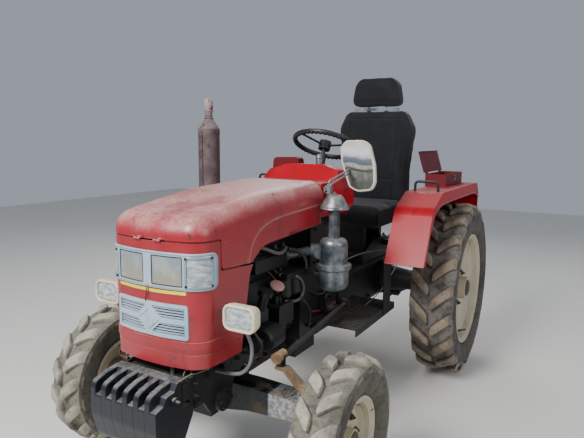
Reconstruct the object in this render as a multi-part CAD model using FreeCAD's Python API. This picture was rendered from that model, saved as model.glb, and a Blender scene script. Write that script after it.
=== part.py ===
import FreeCAD, Part
import math
import os

# Compact four-wheel-drive farm tractor, millimetres.
# +X is forward, +Y is the tractor's left, +Z is up, and the ground is Z = 0.
# Places along the tractor are stations, measured forward from the rear axle.
# At the end every piece is moved so that the middle of the length is X = 0.

os.makedirs("parts", exist_ok=True)
V = FreeCAD.Vector

# Overall reach from the rear axle; the nose, the engine and the dash keep their places from the front axle
wheelbase = 1595.0
front_reach = wheelbase + 493.0
rear_reach = 650.0

# Wheels and tyres
rear_track_half = 565.0
rear_radius = 506.0
rear_tyre_width = 241.0
rear_tyre_height = 181.0
rear_flange_radius = rear_radius - rear_tyre_height
rear_rim_half_width = 102.0
rear_lug_height = 29.0
rear_lug_pairs = 20
front_track_half = 575.0
front_radius = 312.0
front_tyre_width = 165.0
front_tyre_height = 146.0
front_flange_radius = front_radius - front_tyre_height
front_rim_half_width = 60.0
front_lug_height = 22.0
front_lug_pairs = 16
lug_share = 0.35
lug_lead = 0.9

# Clearances
shaft_gap = 0.3
running_gap = 1.0
panel_gap = 6.0
seat_gap = 0.3

# Bonnet and nose sheet metal
sheet = 4.0
body_rear = wheelbase - 500.0
body_front = wheelbase + 355.0
body_rear_half = 231.0
body_front_half = 210.0
nose_corner_radius = 78.0
nose_bow = 26.0
shoulder_radius = 70.0
crest_rear = 1198.0
crest_mid = 1174.0
crest_mid_at = wheelbase - 55.0
crest_front = 1126.0
crest_front_at = body_front - 70.0
crest_nose = 1092.0
nose_bottom = 605.0
seam_front_z = 1040.0
seam_side_x = body_front - 128.0
seam_side_z = 934.0
arch_front = wheelbase + 117.0
arch_top_front_z = 975.0
arch_rear_z = 1006.0
seam_rear_z = 872.0
bonnet_hinge_x = body_front + 1.0
bonnet_hinge_radius = 5.0
hinge_pin_radius = 2.5

# Lamps and grille in the nose
bezel_bottom = 878.0
bezel_top = 1004.0
bezel_back_x = body_front - 107.0
bezel_proud = 5.0
bezel_depth = 46.0
lamp_inner = 18.0
lamp_outer = 143.0
corner_lamp_start = 152.0
lamp_margin = 12.0
lens_thick = 5.0
grille_half = 160.0
grille_bottom = 708.0
grille_top = 828.0
grille_depth = 16.0
vent_rim = 13.0
vent_band = 9.0
vent_slats = 4
vent_slat = 3.0
diamond_half_width = 46.0
diamond_half_height = 38.0
diamond_border = 6.0

# Frame, front axle and steering
rail_outer = 152.0
rail_thick = 14.0
rail_top = 570.0
rail_bottom = 450.0
rail_front = wheelbase + 330.0
rail_step = 27.0
rail_rear = wheelbase - 175.0
beam_z = 385.0
axle_pivot_z = 360.0
nose_case_radius = 40.0
beam_height = 104.0
beam_depth = 104.0
kingpin_y = 440.0
kingpin_radius = 20.0
kingpin_housing_radius = 46.0
kingpin_housing_bottom = 346.0
kingpin_housing_top = 452.0
pivot_radius = 26.0
steer_arm_reach = 125.0
steer_ball_z = 556.0
ball_pin_radius = 9.0
socket_radius = 19.0
tie_arm_reach = 120.0
tie_rod_z = 268.0
drag_rear_y = 268.0
drag_rear_z = 588.0
pitman_radius = 170.0

# Ballast plates on their bar
weight_count = 6
weight_pitch = 50.0
weight_rib = 23.0
bar_top = 560.0
bar_depth = 37.0
weight_rod_z = 520.0

# Power train
engine_front = wheelbase - 15.0
engine_rear = wheelbase - 445.0
engine_half = 120.0
engine_bottom = 520.0
engine_top = 800.0
head_top = 900.0
cover_top = 955.0
clutch_rear = engine_rear - 250.0
gearbox_half = 115.0
gearbox_bottom = 390.0
gearbox_top = 640.0
gearbox_rear = -130.0
radiator_front = wheelbase + 165.0
radiator_rear = wheelbase + 95.0
radiator_half = 185.0
radiator_bottom = 600.0
radiator_top = 1020.0
fan_x = radiator_rear - 40.0
fan_z = 800.0
fan_radius = 165.0

# Rear axle, lift and hitch
trumpet_radius = 62.0
trumpet_end = 440.0
axle_shaft_radius = 30.0
lift_shaft_x = -60.0
lift_shaft_z = 720.0
lower_pivot_z = rear_radius - 106.0
lift_arm_dx = -270.0
lift_arm_dz = 10.0
lower_ball_x = -616.0
lower_ball_y = 341.0
lower_ball_z = lower_pivot_z + 25.0
lower_pin_radius = 11.2
top_pin_radius = 9.65
pto_z = 520.0
pto_radius = 17.5
pto_seat = 30.0

# Steering wheel and dash
wheel_x = body_rear - 475.0
wheel_z = 1352.0
wheel_tilt = 25.0
wheel_radius = 178.0
wheel_grip = 13.0
column_radius = 21.0
column_sleeve_radius = 30.0
dash_rear = body_rear - 360.0
dash_front = body_rear - 8.0
dash_low = 1000.0
dash_neck = 1180.0
dash_top = 1256.0

# Seat
seat_pan_z = 880.0
seat_half = 240.0

# Fenders and toolbox
fender_inner = 404.0
fender_outer = 602.0
fender_room = 98.0
fender_top = 2 * rear_radius + fender_room
fender_front = rear_radius + 246.0
fender_rear = -rear_radius + 22.0
fender_sheet = 4.0
box_front = 75.0
box_rear = -330.0
box_inner = 396.0
box_outer = 518.0
box_height = 72.0
box_top = fender_top + box_height
lid_open = 107.0

shift = (rear_reach - front_reach) / 2


def box(x0, x1, y0, y1, z0, z1):
    return Part.makeBox(x1 - x0, y1 - y0, z1 - z0, V(x0, y0, z0))


def rod(start, end, radius):
    start = V(*start)
    end = V(*end)
    return Part.makeCylinder(radius, (end - start).Length, start, end - start)


def cone(start, end, r0, r1):
    start = V(*start)
    end = V(*end)
    return Part.makeCone(r0, r1, (end - start).Length, start, end - start)


def join(*shapes):
    return shapes[0].multiFuse(list(shapes[1:])).removeSplitter()


def both(shape):
    return [shape, shape.mirror(V(0, 0, 0), V(0, 1, 0))]


def rounded(corners, place):
    """Closed face from corners (a, b) or (a, b, radius); place turns a, b into a point."""
    count = len(corners)
    entry = []
    leave = []
    for i, corner in enumerate(corners):
        here = V(corner[0], corner[1], 0)
        back = V(*corners[i - 1][:2], 0) - here
        ahead = V(*corners[(i + 1) % count][:2], 0) - here
        radius = corner[2] if len(corner) > 2 else 0
        if radius:
            half = back.getAngle(ahead) / 2
            reach = radius / math.tan(half)
            back.normalize()
            ahead.normalize()
            middle = back + ahead
            middle.normalize()
            top = here + middle * (radius / math.sin(half) - radius)
            entry.append((here + back * reach, top))
            leave.append(here + ahead * reach)
        else:
            entry.append((here, None))
            leave.append(here)
    edges = []
    for i in range(count):
        start, top = entry[i]
        if top is not None:
            arc = Part.Arc(place(start.x, start.y), place(top.x, top.y), place(leave[i].x, leave[i].y))
            edges.append(arc.toShape())
        nxt = entry[(i + 1) % count][0]
        if (nxt - leave[i]).Length > 0.001:
            edges.append(Part.LineSegment(place(leave[i].x, leave[i].y), place(nxt.x, nxt.y)).toShape())
    return Part.Face(Part.Wire(edges))


def side_slab(corners, y0, y1):
    """Outline in X and Z, thick from y0 to y1."""
    return rounded(corners, lambda a, b: V(a, y0, b)).extrude(V(0, y1 - y0, 0))


def plan_slab(corners, z0, z1):
    """Outline in X and Y, thick from z0 to z1."""
    return rounded(corners, lambda a, b: V(a, b, z0)).extrude(V(0, 0, z1 - z0))


def front_slab(corners, x0, x1):
    """Outline in Y and Z, thick from x0 to x1."""
    return rounded(corners, lambda a, b: V(x0, a, b)).extrude(V(x1 - x0, 0, 0))


def turned(profile, centre, axis):
    """Profile of (radius, along) turned about an axis through centre."""
    axis = V(*axis)
    side = V(1, 0, 0) if abs(axis.x) < 0.5 else V(0, 0, 1)
    points = [V(*centre) + side * r + axis * a for r, a in profile]
    face = Part.Face(Part.makePolygon(points + [points[0]]))
    return face.revolve(V(*centre), axis, 360)


def pipe(points, radius, bend):
    """Round bar or tube along straight runs joined by tangent arcs of one radius."""
    points = [V(*p) for p in points]
    edges = []
    last = points[0]
    for i in range(1, len(points) - 1):
        back = points[i - 1] - points[i]
        ahead = points[i + 1] - points[i]
        half = back.getAngle(ahead) / 2
        reach = bend / math.tan(half)
        back.normalize()
        ahead.normalize()
        middle = back + ahead
        middle.normalize()
        start = points[i] + back * reach
        end = points[i] + ahead * reach
        top = points[i] + middle * (bend / math.sin(half) - bend)
        edges.append(Part.LineSegment(last, start).toShape())
        edges.append(Part.Arc(start, top, end).toShape())
        last = end
    edges.append(Part.LineSegment(last, points[-1]).toShape())
    way = points[1] - points[0]
    ring = Part.Wire(Part.Circle(points[0], way, radius).toShape())
    return Part.Wire(edges).makePipeShell([ring], True, False)


def save(name, *shapes):
    shape = shapes[0] if len(shapes) == 1 else Part.makeCompound(list(shapes))
    shape = shape.copy()
    shape.translate(V(shift, 0, 0))
    volume = sum(s.Volume for s in shape.Solids)
    state = "ok" if shape.isValid() and volume > 0 else "BAD"
    print(name, state, len(shape.Solids), "solids", round(volume / 1000), "cm3")
    shape.exportStep(os.path.join("parts", name + ".step"))


# Sheet metal: one closed outer form, cut into bonnet and nose

def body_plan(inset):
    half_rear = body_rear_half - inset
    half = body_front_half - inset
    front = body_front - inset
    corner = nose_corner_radius - inset
    return [
        (body_rear - 200, -half_rear - 4),
        (front - nose_bow, -half, corner),
        (front, -60, 400),
        (front, 60, 400),
        (front - nose_bow, half, corner),
        (body_rear - 200, half_rear + 4),
    ]


def body_form(inset):
    """Solid bonnet and nose form, its walls moved in by inset."""
    profile = [
        (body_rear - 200, 500),
        (body_front + 50, 500),
        (body_front + 50, crest_nose - 8 - inset),
        (crest_front_at, crest_front - inset, 500),
        (crest_mid_at, crest_mid - inset, 2500),
        (body_rear - 200, crest_rear + 2 - inset),
    ]
    solid = plan_slab(body_plan(inset), 500, 1300).common(side_slab(profile, -300, 300))
    edges = []
    for edge in solid.Edges:
        box_of = edge.BoundBox
        if box_of.ZMin > 1080 and box_of.YLength > 0.01 and box_of.XMin > body_rear - 150:
            edges.append(edge)
        elif box_of.ZMin > 1080 and box_of.XLength > 50 and abs(box_of.Center.y) > 100:
            edges.append(edge)
    return solid.makeFillet(shoulder_radius - inset, edges)


outer = body_form(0)
inner = body_form(sheet)
shell = outer.cut(inner)
past_nose = body_front + 150
shell = shell.common(box(body_rear, past_nose, -300, 300, nose_bottom, 1300))

arch = [
    (body_rear - 200, 400),
    (body_rear - 200, arch_rear_z + 6),
    (arch_front - 422, 990),
    (arch_front - 152, arch_top_front_z, 110),
    (arch_front - 60, 905, 90),
    (arch_front, 590),
    (arch_front, 400),
]
shell = shell.cut(side_slab(arch, -300, 300))

bonnet_zone = side_slab([
    (body_rear - 200, 1300),
    (past_nose, 1300),
    (past_nose, seam_front_z + panel_gap / 2),
    (seam_side_x - panel_gap / 2, seam_front_z + panel_gap / 2, 14),
    (seam_side_x - panel_gap / 2, seam_side_z + panel_gap / 2, 14),
    (body_rear - 200, seam_rear_z + panel_gap / 2),
], -300, 300)
nose_zone = side_slab([
    (body_rear - 200, 500),
    (body_rear - 200, seam_rear_z - panel_gap / 2),
    (seam_side_x + panel_gap / 2, seam_side_z - panel_gap / 2, 8),
    (seam_side_x + panel_gap / 2, seam_front_z - panel_gap / 2, 8),
    (past_nose, seam_front_z - panel_gap / 2),
    (past_nose, 500),
], -300, 300)
bonnet = shell.common(bonnet_zone)
nose = shell.common(nose_zone)

# Two small hinges at the front seam: first the fixed half with its pin, then the bonnet's half
hinge_reach = 15.0
for y in (-45.0, 45.0):
    seam = seam_front_z
    spots = [(y - hinge_reach, y), (y, y + hinge_reach)]
    for y0, y1 in spots:
        clear = rod((bonnet_hinge_x, y0 - 1, seam), (bonnet_hinge_x, y1 + 1, seam), bonnet_hinge_radius + 1)
        if y0 < y:
            bonnet = bonnet.cut(clear)
            block = box(bonnet_hinge_x - 7, bonnet_hinge_x, y0, y1 - 0.5, seam - 8, seam)
            knuckle = rod((bonnet_hinge_x, y0, seam), (bonnet_hinge_x, y1 - 0.5, seam), bonnet_hinge_radius)
            pin = rod((bonnet_hinge_x, y0, seam), (bonnet_hinge_x, y + hinge_reach, seam), hinge_pin_radius)
            nose = join(nose, block, knuckle, pin)
        else:
            bonnet = join(
                bonnet,
                box(bonnet_hinge_x - 7, bonnet_hinge_x, y0 + 0.5, y1, seam, seam + 8),
                rod((bonnet_hinge_x, y0 + 0.5, seam), (bonnet_hinge_x, y1, seam), bonnet_hinge_radius),
            )
            bonnet = bonnet.cut(rod((bonnet_hinge_x, y0 - 1, seam), (bonnet_hinge_x, y1 + 1, seam),
                                    hinge_pin_radius + shaft_gap))
            nose = nose.cut(rod((bonnet_hinge_x, y0, seam), (bonnet_hinge_x, y1 + 1, seam),
                                bonnet_hinge_radius + 1).cut(
                rod((bonnet_hinge_x, y0 - 1, seam), (bonnet_hinge_x, y1 + 1, seam), hinge_pin_radius)))


def plan_band(outside, inside, z0, z1):
    """Band that follows the nose in plan, from outside mm proud to inside mm deep."""
    band = plan_slab(body_plan(-outside), z0, z1).cut(plan_slab(body_plan(inside), z0 - 1, z1 + 1))
    return band.common(box(arch_front + 8, past_nose, -300, 300, z0, z1))


# Raised belt and the groove under it
belt = plan_band(3, 1, 672, 700)
nose = join(nose, belt)
nose = nose.cut(plan_band(6, 1.5, 654, 661))

# Lamp bezel with its windows, wrapping both corners
bezel_room = front_slab([
    (-300, bezel_bottom), (300, bezel_bottom), (300, bezel_top), (-300, bezel_top),
], bezel_back_x, past_nose)
bezel = plan_band(bezel_proud, bezel_depth, bezel_bottom, bezel_top).common(bezel_room)
window_low = bezel_bottom + lamp_margin
window_high = bezel_top - lamp_margin
pockets = []
lenses = []
# columns: side, first y, last y, least x
lamp_rows = [
    (side, y0, y1, x0)
    for side in (1, -1)
    for y0, y1, x0 in (
        (lamp_inner, lamp_outer, body_front - 150),
        (corner_lamp_start, 260, bezel_back_x + 12),
    )
]
for side, y0, y1, x0 in lamp_rows:
    low, high = sorted((side * y0, side * y1))
    room = box(x0, past_nose, low, high, window_low, window_high)
    pockets.append(plan_band(30, bezel_depth - 6, window_low, window_high).common(room))
    gap = seat_gap
    room = box(x0 + gap, past_nose, low + gap, high - gap, window_low + gap, window_high - gap)
    lens_in = lens_thick - bezel_proud + 3
    lens_band = plan_band(bezel_proud - 1.5, lens_in, window_low + gap, window_high - gap)
    lenses.append(lens_band.common(room))
for pocket in pockets:
    bezel = bezel.cut(pocket)
bezel_seat = plan_band(30, bezel_depth + 4, bezel_bottom - seat_gap, bezel_top + seat_gap)
nose = nose.cut(bezel_seat.common(box(bezel_back_x - seat_gap, past_nose, -300, 300, 800, 1100)))

# Grille panel: four slatted vents round a plain diamond with a raised border
def nose_block(outline, proud, deep):
    band = plan_band(proud, deep, grille_bottom - 5, grille_top + 5)
    return band.common(front_slab(outline, body_front - 150, past_nose))


def diamond_outline(border):
    wide = diamond_half_width - border * diamond_half_width / diamond_half_height
    high = diamond_half_height - border
    return [
        (-wide, grille_middle), (0, grille_middle - high),
        (wide, grille_middle), (0, grille_middle + high),
    ]


grille_middle = (grille_bottom + grille_top) / 2
grille_outline = [
    (-grille_half, grille_bottom, 10), (grille_half, grille_bottom, 10),
    (grille_half - 2, grille_top, 10), (-grille_half + 2, grille_top, 10),
]
grille = nose_block(grille_outline, 4, grille_depth)
vent_high = grille_top - vent_rim - grille_middle
vent_wide = grille_half - vent_rim
vent_inner = diamond_half_width * (1 - vent_band / diamond_half_height) + 16
for side in (1, -1):
    for up in (1, -1):
        def spot(y, z):
            return (side * y, grille_middle + up * z)
        vent = [
            spot(vent_inner, vent_band), spot(vent_wide, vent_band), spot(vent_wide, vent_high),
            spot(18, vent_high), spot(18, vent_high - 8),
        ]
        grille = grille.cut(nose_block(vent, 10, grille_depth + 4))
        pitch = (vent_high - vent_band) / vent_slats
        for i in range(vent_slats):
            z = grille_middle + up * (vent_band + (i + 0.5) * pitch)
            slat = box(body_front - 150, past_nose, *sorted((side * 6, side * (vent_wide + 4))),
                       z - vent_slat / 2, z + vent_slat / 2)
            vent_bar = nose_block(grille_outline, 0.5, grille_depth - 4).common(slat)
            grille = grille.fuse(vent_bar)
diamond = nose_block(diamond_outline(0), 7, grille_depth)
pocket = nose_block(diamond_outline(diamond_border), 12, -4.5)
grille = join(grille, diamond).cut(pocket)
grille_seat = [
    (-grille_half - seat_gap, grille_bottom - seat_gap, 10),
    (grille_half + seat_gap, grille_bottom - seat_gap, 10),
    (grille_half - 2 + seat_gap, grille_top + seat_gap, 10),
    (-grille_half + 2 - seat_gap, grille_top + seat_gap, 10),
]
nose = nose.cut(front_slab(grille_seat, body_front - 70, past_nose))

# Dash cowl: a low neck under the bonnet's rear edge, then a raised cowl flaring at its sides, open below
def dash_form(inset, low):
    section = [
        (-182 + inset, low), (182 - inset, low), (226 - inset, 1062, 30),
        (222 - inset, 1142, 50), (196 - inset, 1227, 20), (100, dash_top - inset, 150),
        (-100, dash_top - inset, 150), (-196 + inset, 1227, 20),
        (-222 + inset, 1142, 50), (-226 + inset, 1062, 30),
    ]
    profile = [
        (dash_front - inset, low - 1), (dash_front - inset, dash_neck - inset, 20),
        (dash_front - 182 - inset, dash_neck - inset, 15),
        (dash_front - 249 - inset, dash_top + 4 - inset, 22), (dash_front - 297, dash_top - 6 - inset, 60),
        (dash_rear + inset, 1190, 60), (dash_rear + inset, low - 1),
    ]
    return front_slab(section, dash_rear - 135, dash_front + 113).common(side_slab(profile, -300, 300))


dash = dash_form(0, dash_low).cut(dash_form(sheet, dash_low - 10))
column_axis = V(-math.sin(math.radians(wheel_tilt)), 0, math.cos(math.radians(wheel_tilt)))
wheel_centre = V(wheel_x, 0, wheel_z)
dash = dash.cut(rod(tuple(wheel_centre - column_axis * 350), tuple(wheel_centre - column_axis * 60),
                    column_sleeve_radius + seat_gap))

# Engine: one plain block with its head, cover, sump and auxiliaries
block = side_slab([
    (engine_rear, engine_bottom), (engine_front, engine_bottom), (engine_front, engine_top),
    (engine_rear, engine_top),
], -engine_half, engine_half)
sump = side_slab([
    (engine_rear + 20, engine_bottom), (engine_rear + 40, 452, 20), (engine_front - 160, 452, 20),
    (engine_front - 120, 492, 20), (engine_front - 20, 492, 10), (engine_front - 20, engine_bottom),
], -95, 95)
bell = side_slab([
    (engine_rear - 70, 470), (engine_rear + 30, 470), (engine_rear + 30, 790), (engine_rear - 70, 790),
], -165, 165)
engine_feet = []
for side in (1, -1):
    y0, y1 = sorted((side * engine_half, side * (rail_outer - rail_thick - seat_gap)))
    engine_feet.append(box(rail_rear + 20, rail_rear + 80, y0, y1, 524, 562))
engine = join(block, sump, bell, *engine_feet)

head = box(engine_rear + 25, engine_front - 25, -100, 100, engine_top + seat_gap, head_top)
cover = side_slab([
    (engine_rear + 45, head_top), (engine_front - 45, head_top), (engine_front - 45, cover_top, 18),
    (engine_rear + 45, cover_top, 18),
], -62, 62)
cap = rod((engine_front - 120, 0, cover_top), (engine_front - 120, 0, cover_top + 22), 24)
cylinder_head = join(head, cover, cap)

# Left side of the engine: injection pump, filters, intake manifold, alternator, starter
pump = side_slab([
    (engine_rear + 140, 600), (engine_rear + 260, 600),
    (engine_rear + 260, 690, 15), (engine_rear + 140, 690, 15),
], engine_half + seat_gap, engine_half + 75)
plungers = [rod((engine_rear + x, engine_half + 38, 690), (engine_rear + x, engine_half + 38, 722), 10)
            for x in (165, 195, 225)]
filter_y = engine_half + 45
filter_bowls = []
for x in (engine_rear + 90, engine_rear + 170):
    filter_bowls.append(turned([
        (0, 700), (18, 700), (30, 712), (32, 716), (32, 792), (0, 792),
    ], (x, filter_y, 0), (0, 0, 1)))
filter_head = box(engine_rear + 55, engine_rear + 205, engine_half + seat_gap, engine_half + 80, 790, 815)
filter_foot = box(engine_rear + 140, engine_rear + 200, engine_half + seat_gap, engine_half + 12, 680, 800)
left_fuel = join(pump, filter_head, filter_foot, *plungers, *filter_bowls)
filler_x = engine_front - 80
filler = rod((filler_x, engine_half + 40, 690), (filler_x, engine_half + 62, 762), 20)
filler_cap = rod((filler_x, engine_half + 62, 762), (filler_x, engine_half + 68, 782), 31)
filler_foot = box(filler_x - 30, filler_x + 30, engine_half + seat_gap, engine_half + 60, 650, 700)
oil_filler = join(filler_foot, filler, filler_cap)
alternator_y = 203.0
alternator_z = 592.0
alternator_front = engine_front - 28
alternator = join(
    turned([
        (0, -112), (40, -112), (48, -100), (48, -12), (40, 0), (12, 0), (12, 40), (32, 40), (32, 48),
        (26, 51), (32, 54), (32, 62), (0, 62),
    ], (alternator_front, alternator_y, alternator_z), (1, 0, 0)),
    box(alternator_front - 97, alternator_front - 17, engine_half + seat_gap, alternator_y - 20, 604, 640),
)
# intake manifold: a tank with a round flange facing back, and one runner for each of its ports
intake_rear = engine_rear + 125
intake_y = 126.0
intake_z = 868.0
intake = join(
    box(intake_rear, engine_front - 60, 104 + seat_gap, 150, 842, 894),
    rod((intake_rear, intake_y, intake_z), (intake_rear + 14, intake_y, intake_z), 25),
    *[box(engine_rear + x, engine_rear + x + 44, 100 + seat_gap, 108, 846, 888) for x in (150, 245, 325)],
)
starter = join(
    rod((engine_rear + 40, -engine_half - 58, 600), (engine_rear + 200, -engine_half - 58, 600), 42),
    box(engine_rear + 40, engine_rear + 70, -engine_half - 70, -engine_half - seat_gap, 560, 650),
)
crank_pulley = join(
    rod((engine_front, 0, 580), (engine_front + 40, 0, 580), 62),
    rod((engine_front, 0, fan_z), (engine_front + 30, 0, fan_z), 30),
    rod((engine_front, 0, fan_z), (engine_front + 60, 0, fan_z), 10),
)
save("engine_block", engine, cylinder_head)
save("engine_fittings", left_fuel, oil_filler, alternator, starter, crank_pulley, intake)

# Fan on its shaft in front of the engine
hub = rod((engine_front + 30 + running_gap, 0, fan_z), (fan_x + 14, 0, fan_z), 34)
blades = []
for i in range(6):
    blade = box(-3, 3, -26, 26, 20, fan_radius)
    blade.rotate(V(0, 0, 0), V(0, 0, 1), 58)
    blade.rotate(V(0, 0, 0), V(1, 0, 0), 60 * i)
    blade.translate(V(fan_x, 0, fan_z))
    blades.append(blade)
fan = join(hub, *blades).cut(rod((engine_front, 0, fan_z), (engine_front + 62, 0, fan_z), 10 + shaft_gap))
save("cooling_fan", fan)

# Radiator with tanks and a shroud ring
core = box(radiator_rear, radiator_front, -radiator_half, radiator_half, radiator_bottom, radiator_top)
tank = side_slab([
    (radiator_rear - 8, radiator_top), (radiator_front + 8, radiator_top),
    (radiator_front + 8, radiator_top + 52, 20), (radiator_rear - 8, radiator_top + 52, 20),
], -radiator_half, radiator_half)
neck = rod((radiator_rear + 35, -60, radiator_top + 40), (radiator_rear + 35, -60, radiator_top + 80), 22)
shroud = rod((radiator_rear - 62, 0, fan_z), (radiator_rear, 0, fan_z), fan_radius + 18).cut(
    rod((radiator_rear - 63, 0, fan_z), (radiator_rear, 0, fan_z), fan_radius + 12))
feet = []
for y in (-150, 110):
    feet.append(box(radiator_rear, radiator_front, y, y + 40, rail_top + seat_gap, radiator_bottom))
save("radiator", join(core, tank, neck, shroud, *feet))

# Exhaust on the right: manifold, elbow, upright silencer, slanted tip
muffler_x = engine_rear + 87.0
muffler_y = -298.0
manifold = box(engine_rear + 60, engine_front - 60, -150, -112, 848, 888)
for x in (66, 170, 265, 322):
    port = box(engine_rear + x, engine_rear + x + 48, -116, -100 - seat_gap, 850, 886)
    manifold = join(manifold, port)
elbow = pipe([(muffler_x, -140, 868), (muffler_x, muffler_y, 868), (muffler_x, muffler_y, 1010)], 22, 48)
can = turned([
    (0, 1005), (50, 1015), (50, 1422), (20, 1466), (17.5, 1470), (17.5, 1530), (0, 1530),
], (muffler_x, muffler_y, 0), (0, 0, 1))
tip = rod((muffler_x, muffler_y, 1500), (muffler_x, muffler_y, 1562), 20)
slant = side_slab([
    (muffler_x - 40, 1536), (muffler_x + 40, 1566), (muffler_x + 40, 1620), (muffler_x - 40, 1620),
], muffler_y - 40, muffler_y + 40)
tip = tip.cut(slant).cut(rod((muffler_x, muffler_y, 1505), (muffler_x, muffler_y, 1570), 15))
can = can.cut(rod((muffler_x, muffler_y, 1490), (muffler_x, muffler_y, 1540), 15))
save("muffler", join(manifold, elbow, can, tip))

# Oil-bath air cleaner on the left: its horn and pipe lead to the intake flange
cleaner_x = body_rear + 30.0
cleaner_y = 303.0
horn_turn = -60.0
horn_z = 893.0
can = turned([
    (0, 717), (52, 717), (65, 732), (65, 808), (78, 812), (78, 832), (57, 838), (57, 925),
    (45, 940), (22, 942), (22, 1066), (62, 1079), (60, 1090), (38, 1130), (30, 1138), (0, 1138),
], (cleaner_x, cleaner_y, 0), (0, 0, 1))
horn = side_slab([(0, 845), (0, 925), (92, 918, 8), (92, 868, 8), (56, 852, 20)], -23, 23)
horn = join(horn, rod((90, 0, horn_z), (102, 0, horn_z), 31))
horn.rotate(V(0, 0, 0), V(0, 0, 1), horn_turn)
horn.translate(V(cleaner_x, cleaner_y, 0))
way = V(math.cos(math.radians(horn_turn)), math.sin(math.radians(horn_turn)), 0)
mouth = V(cleaner_x, cleaner_y, horn_z) + way * 95
bend = V(cleaner_x, cleaner_y, horn_z) + way * (cleaner_y - intake_y) / math.sin(math.radians(-horn_turn))
duct = pipe([
    tuple(mouth), (bend.x, bend.y, intake_z), (intake_rear - seat_gap, intake_y, intake_z),
], 20, 24)
clamps = [rod((intake_rear - 26, intake_y, intake_z), (intake_rear - 12, intake_y, intake_z), 23)]
strap = box(cleaner_x - 25, cleaner_x + 20, 165 + seat_gap, 245, 770, 776)
save("air_cleaner", join(can, horn, duct, *clamps, strap))

# Front frame: two side plates, cross plates, trunnion webs for the axle and brackets for the nose
rail_inner = rail_outer - rail_thick
rail_nose = rail_front - rail_step
frame = both(side_slab([
    (rail_rear, 470), (wheelbase - 75, 500, 20), (wheelbase + 65, 500, 20),
    (wheelbase + 105, rail_bottom - 60, 30), (wheelbase + 215, rail_bottom - 60, 30),
    (wheelbase + 255, rail_bottom, 20), (rail_nose, rail_bottom),
    (rail_nose, 484), (rail_front, 484), (rail_front, rail_top), (rail_rear, rail_top),
], rail_inner, rail_outer))
frame.append(box(rail_nose - 14, rail_nose, -rail_outer, rail_outer, rail_bottom, rail_top))
boss_x = wheelbase + 161
frame += both(rod((boss_x, rail_outer - 2, 429), (boss_x, rail_outer + 22, 429), 44))
web_rear = (wheelbase - 95, wheelbase - beam_depth / 2 - 6)
web_front = (wheelbase + beam_depth / 2 + 6, wheelbase + 105)
for x0, x1 in (web_rear, web_front):
    frame.append(box(x0, x1, -62, 62, axle_pivot_z - 58, 485))
    frame.append(box(x0, x1, -rail_inner - 1, rail_inner + 1, 470, 486))
    frame += both(box(x0, x1, rail_inner - 10, rail_inner + 1, 470, 520))
frame = join(*frame)
frame = frame.cut(rod((web_rear[0] - 20, 0, axle_pivot_z), (web_rear[1] + 1, 0, axle_pivot_z),
                      nose_case_radius + running_gap))
stay_x = body_front - 186
stays = []
for side in (1, -1):
    y0, y1 = sorted((side * (rail_outer - 6), side * (body_front_half - 2)))
    stays.append(box(stay_x, stay_x + 36, y0, y1, rail_top - 8, rail_top - 2))
    y0, y1 = sorted((side * (body_front_half - 8), side * (body_front_half - 2)))
    stays.append(box(stay_x, stay_x + 36, y0, y1, rail_top - 8, nose_bottom + 35))
pivot_pin = rod((wheelbase, 0, axle_pivot_z), (web_front[1], 0, axle_pivot_z), pivot_radius)
bar_front = rail_front + bar_depth
weight_bar = box(rail_nose - 2, bar_front, -rail_outer, rail_outer, bar_top - 62, bar_top)
save("front_frame", join(frame, pivot_pin, weight_bar, *stays))

# Battery on its tray, between the nose and the radiator
tray_x = radiator_front + 22
tray = box(tray_x, tray_x + 108, -rail_outer, rail_outer, rail_top + seat_gap, rail_top + 8)
battery = join(tray, box(tray_x + 6, tray_x + 102, -105, 105, rail_top + 8, 772),
               *[rod((tray_x + 30, y, 772), (tray_x + 30, y, 790), 9) for y in (-70, 70)])
save("battery", battery)

# Ballast plates: castings hooked on the bar, each with a full lower body and a thinner rib above it
plate_shelf = bar_top - 82
plate_body = [
    (rail_nose + 8, plate_shelf), (rail_nose + 8, 440, 50), (front_reach - 135, 358, 50),
    (front_reach - 85, 316, 50), (front_reach - 26, 345, 60), (front_reach, 440, 60), (front_reach, 512, 8),
    (front_reach - 36, 521, 12), (front_reach - 52, 547, 10), (front_reach - 88, 549, 12),
    (front_reach - 106, bar_top + 16, 8), (bar_front - 18, bar_top + 16),
    (bar_front - 18, bar_top + seat_gap), (bar_front + seat_gap, bar_top + seat_gap),
    (bar_front + seat_gap, plate_shelf),
]
plate_rib = [
    (front_reach - 118, bar_top - 40), (front_reach - 12, 490), (front_reach - 12, 552, 28),
    (front_reach - 60, 568, 40), (front_reach - 118, bar_top + 16),
]
weights = []
for i in range(weight_count):
    y = (i - weight_count / 2) * weight_pitch
    weights.append(side_slab(plate_body, y + 0.5, y + weight_pitch - 0.5))
    weights.append(side_slab(plate_rib, y + 0.5, y + weight_rib))
weight_rod_x = front_reach - 84
reach = weight_count * weight_pitch / 2
weight_rod = rod((weight_rod_x, -reach - 15, weight_rod_z), (weight_rod_x, reach + 30, weight_rod_z), 8)
nuts = both(rod((weight_rod_x, reach - 1, weight_rod_z), (weight_rod_x, reach + 12, weight_rod_z), 15))
save("front_weights", join(*weights, weight_rod, *nuts))

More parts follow.
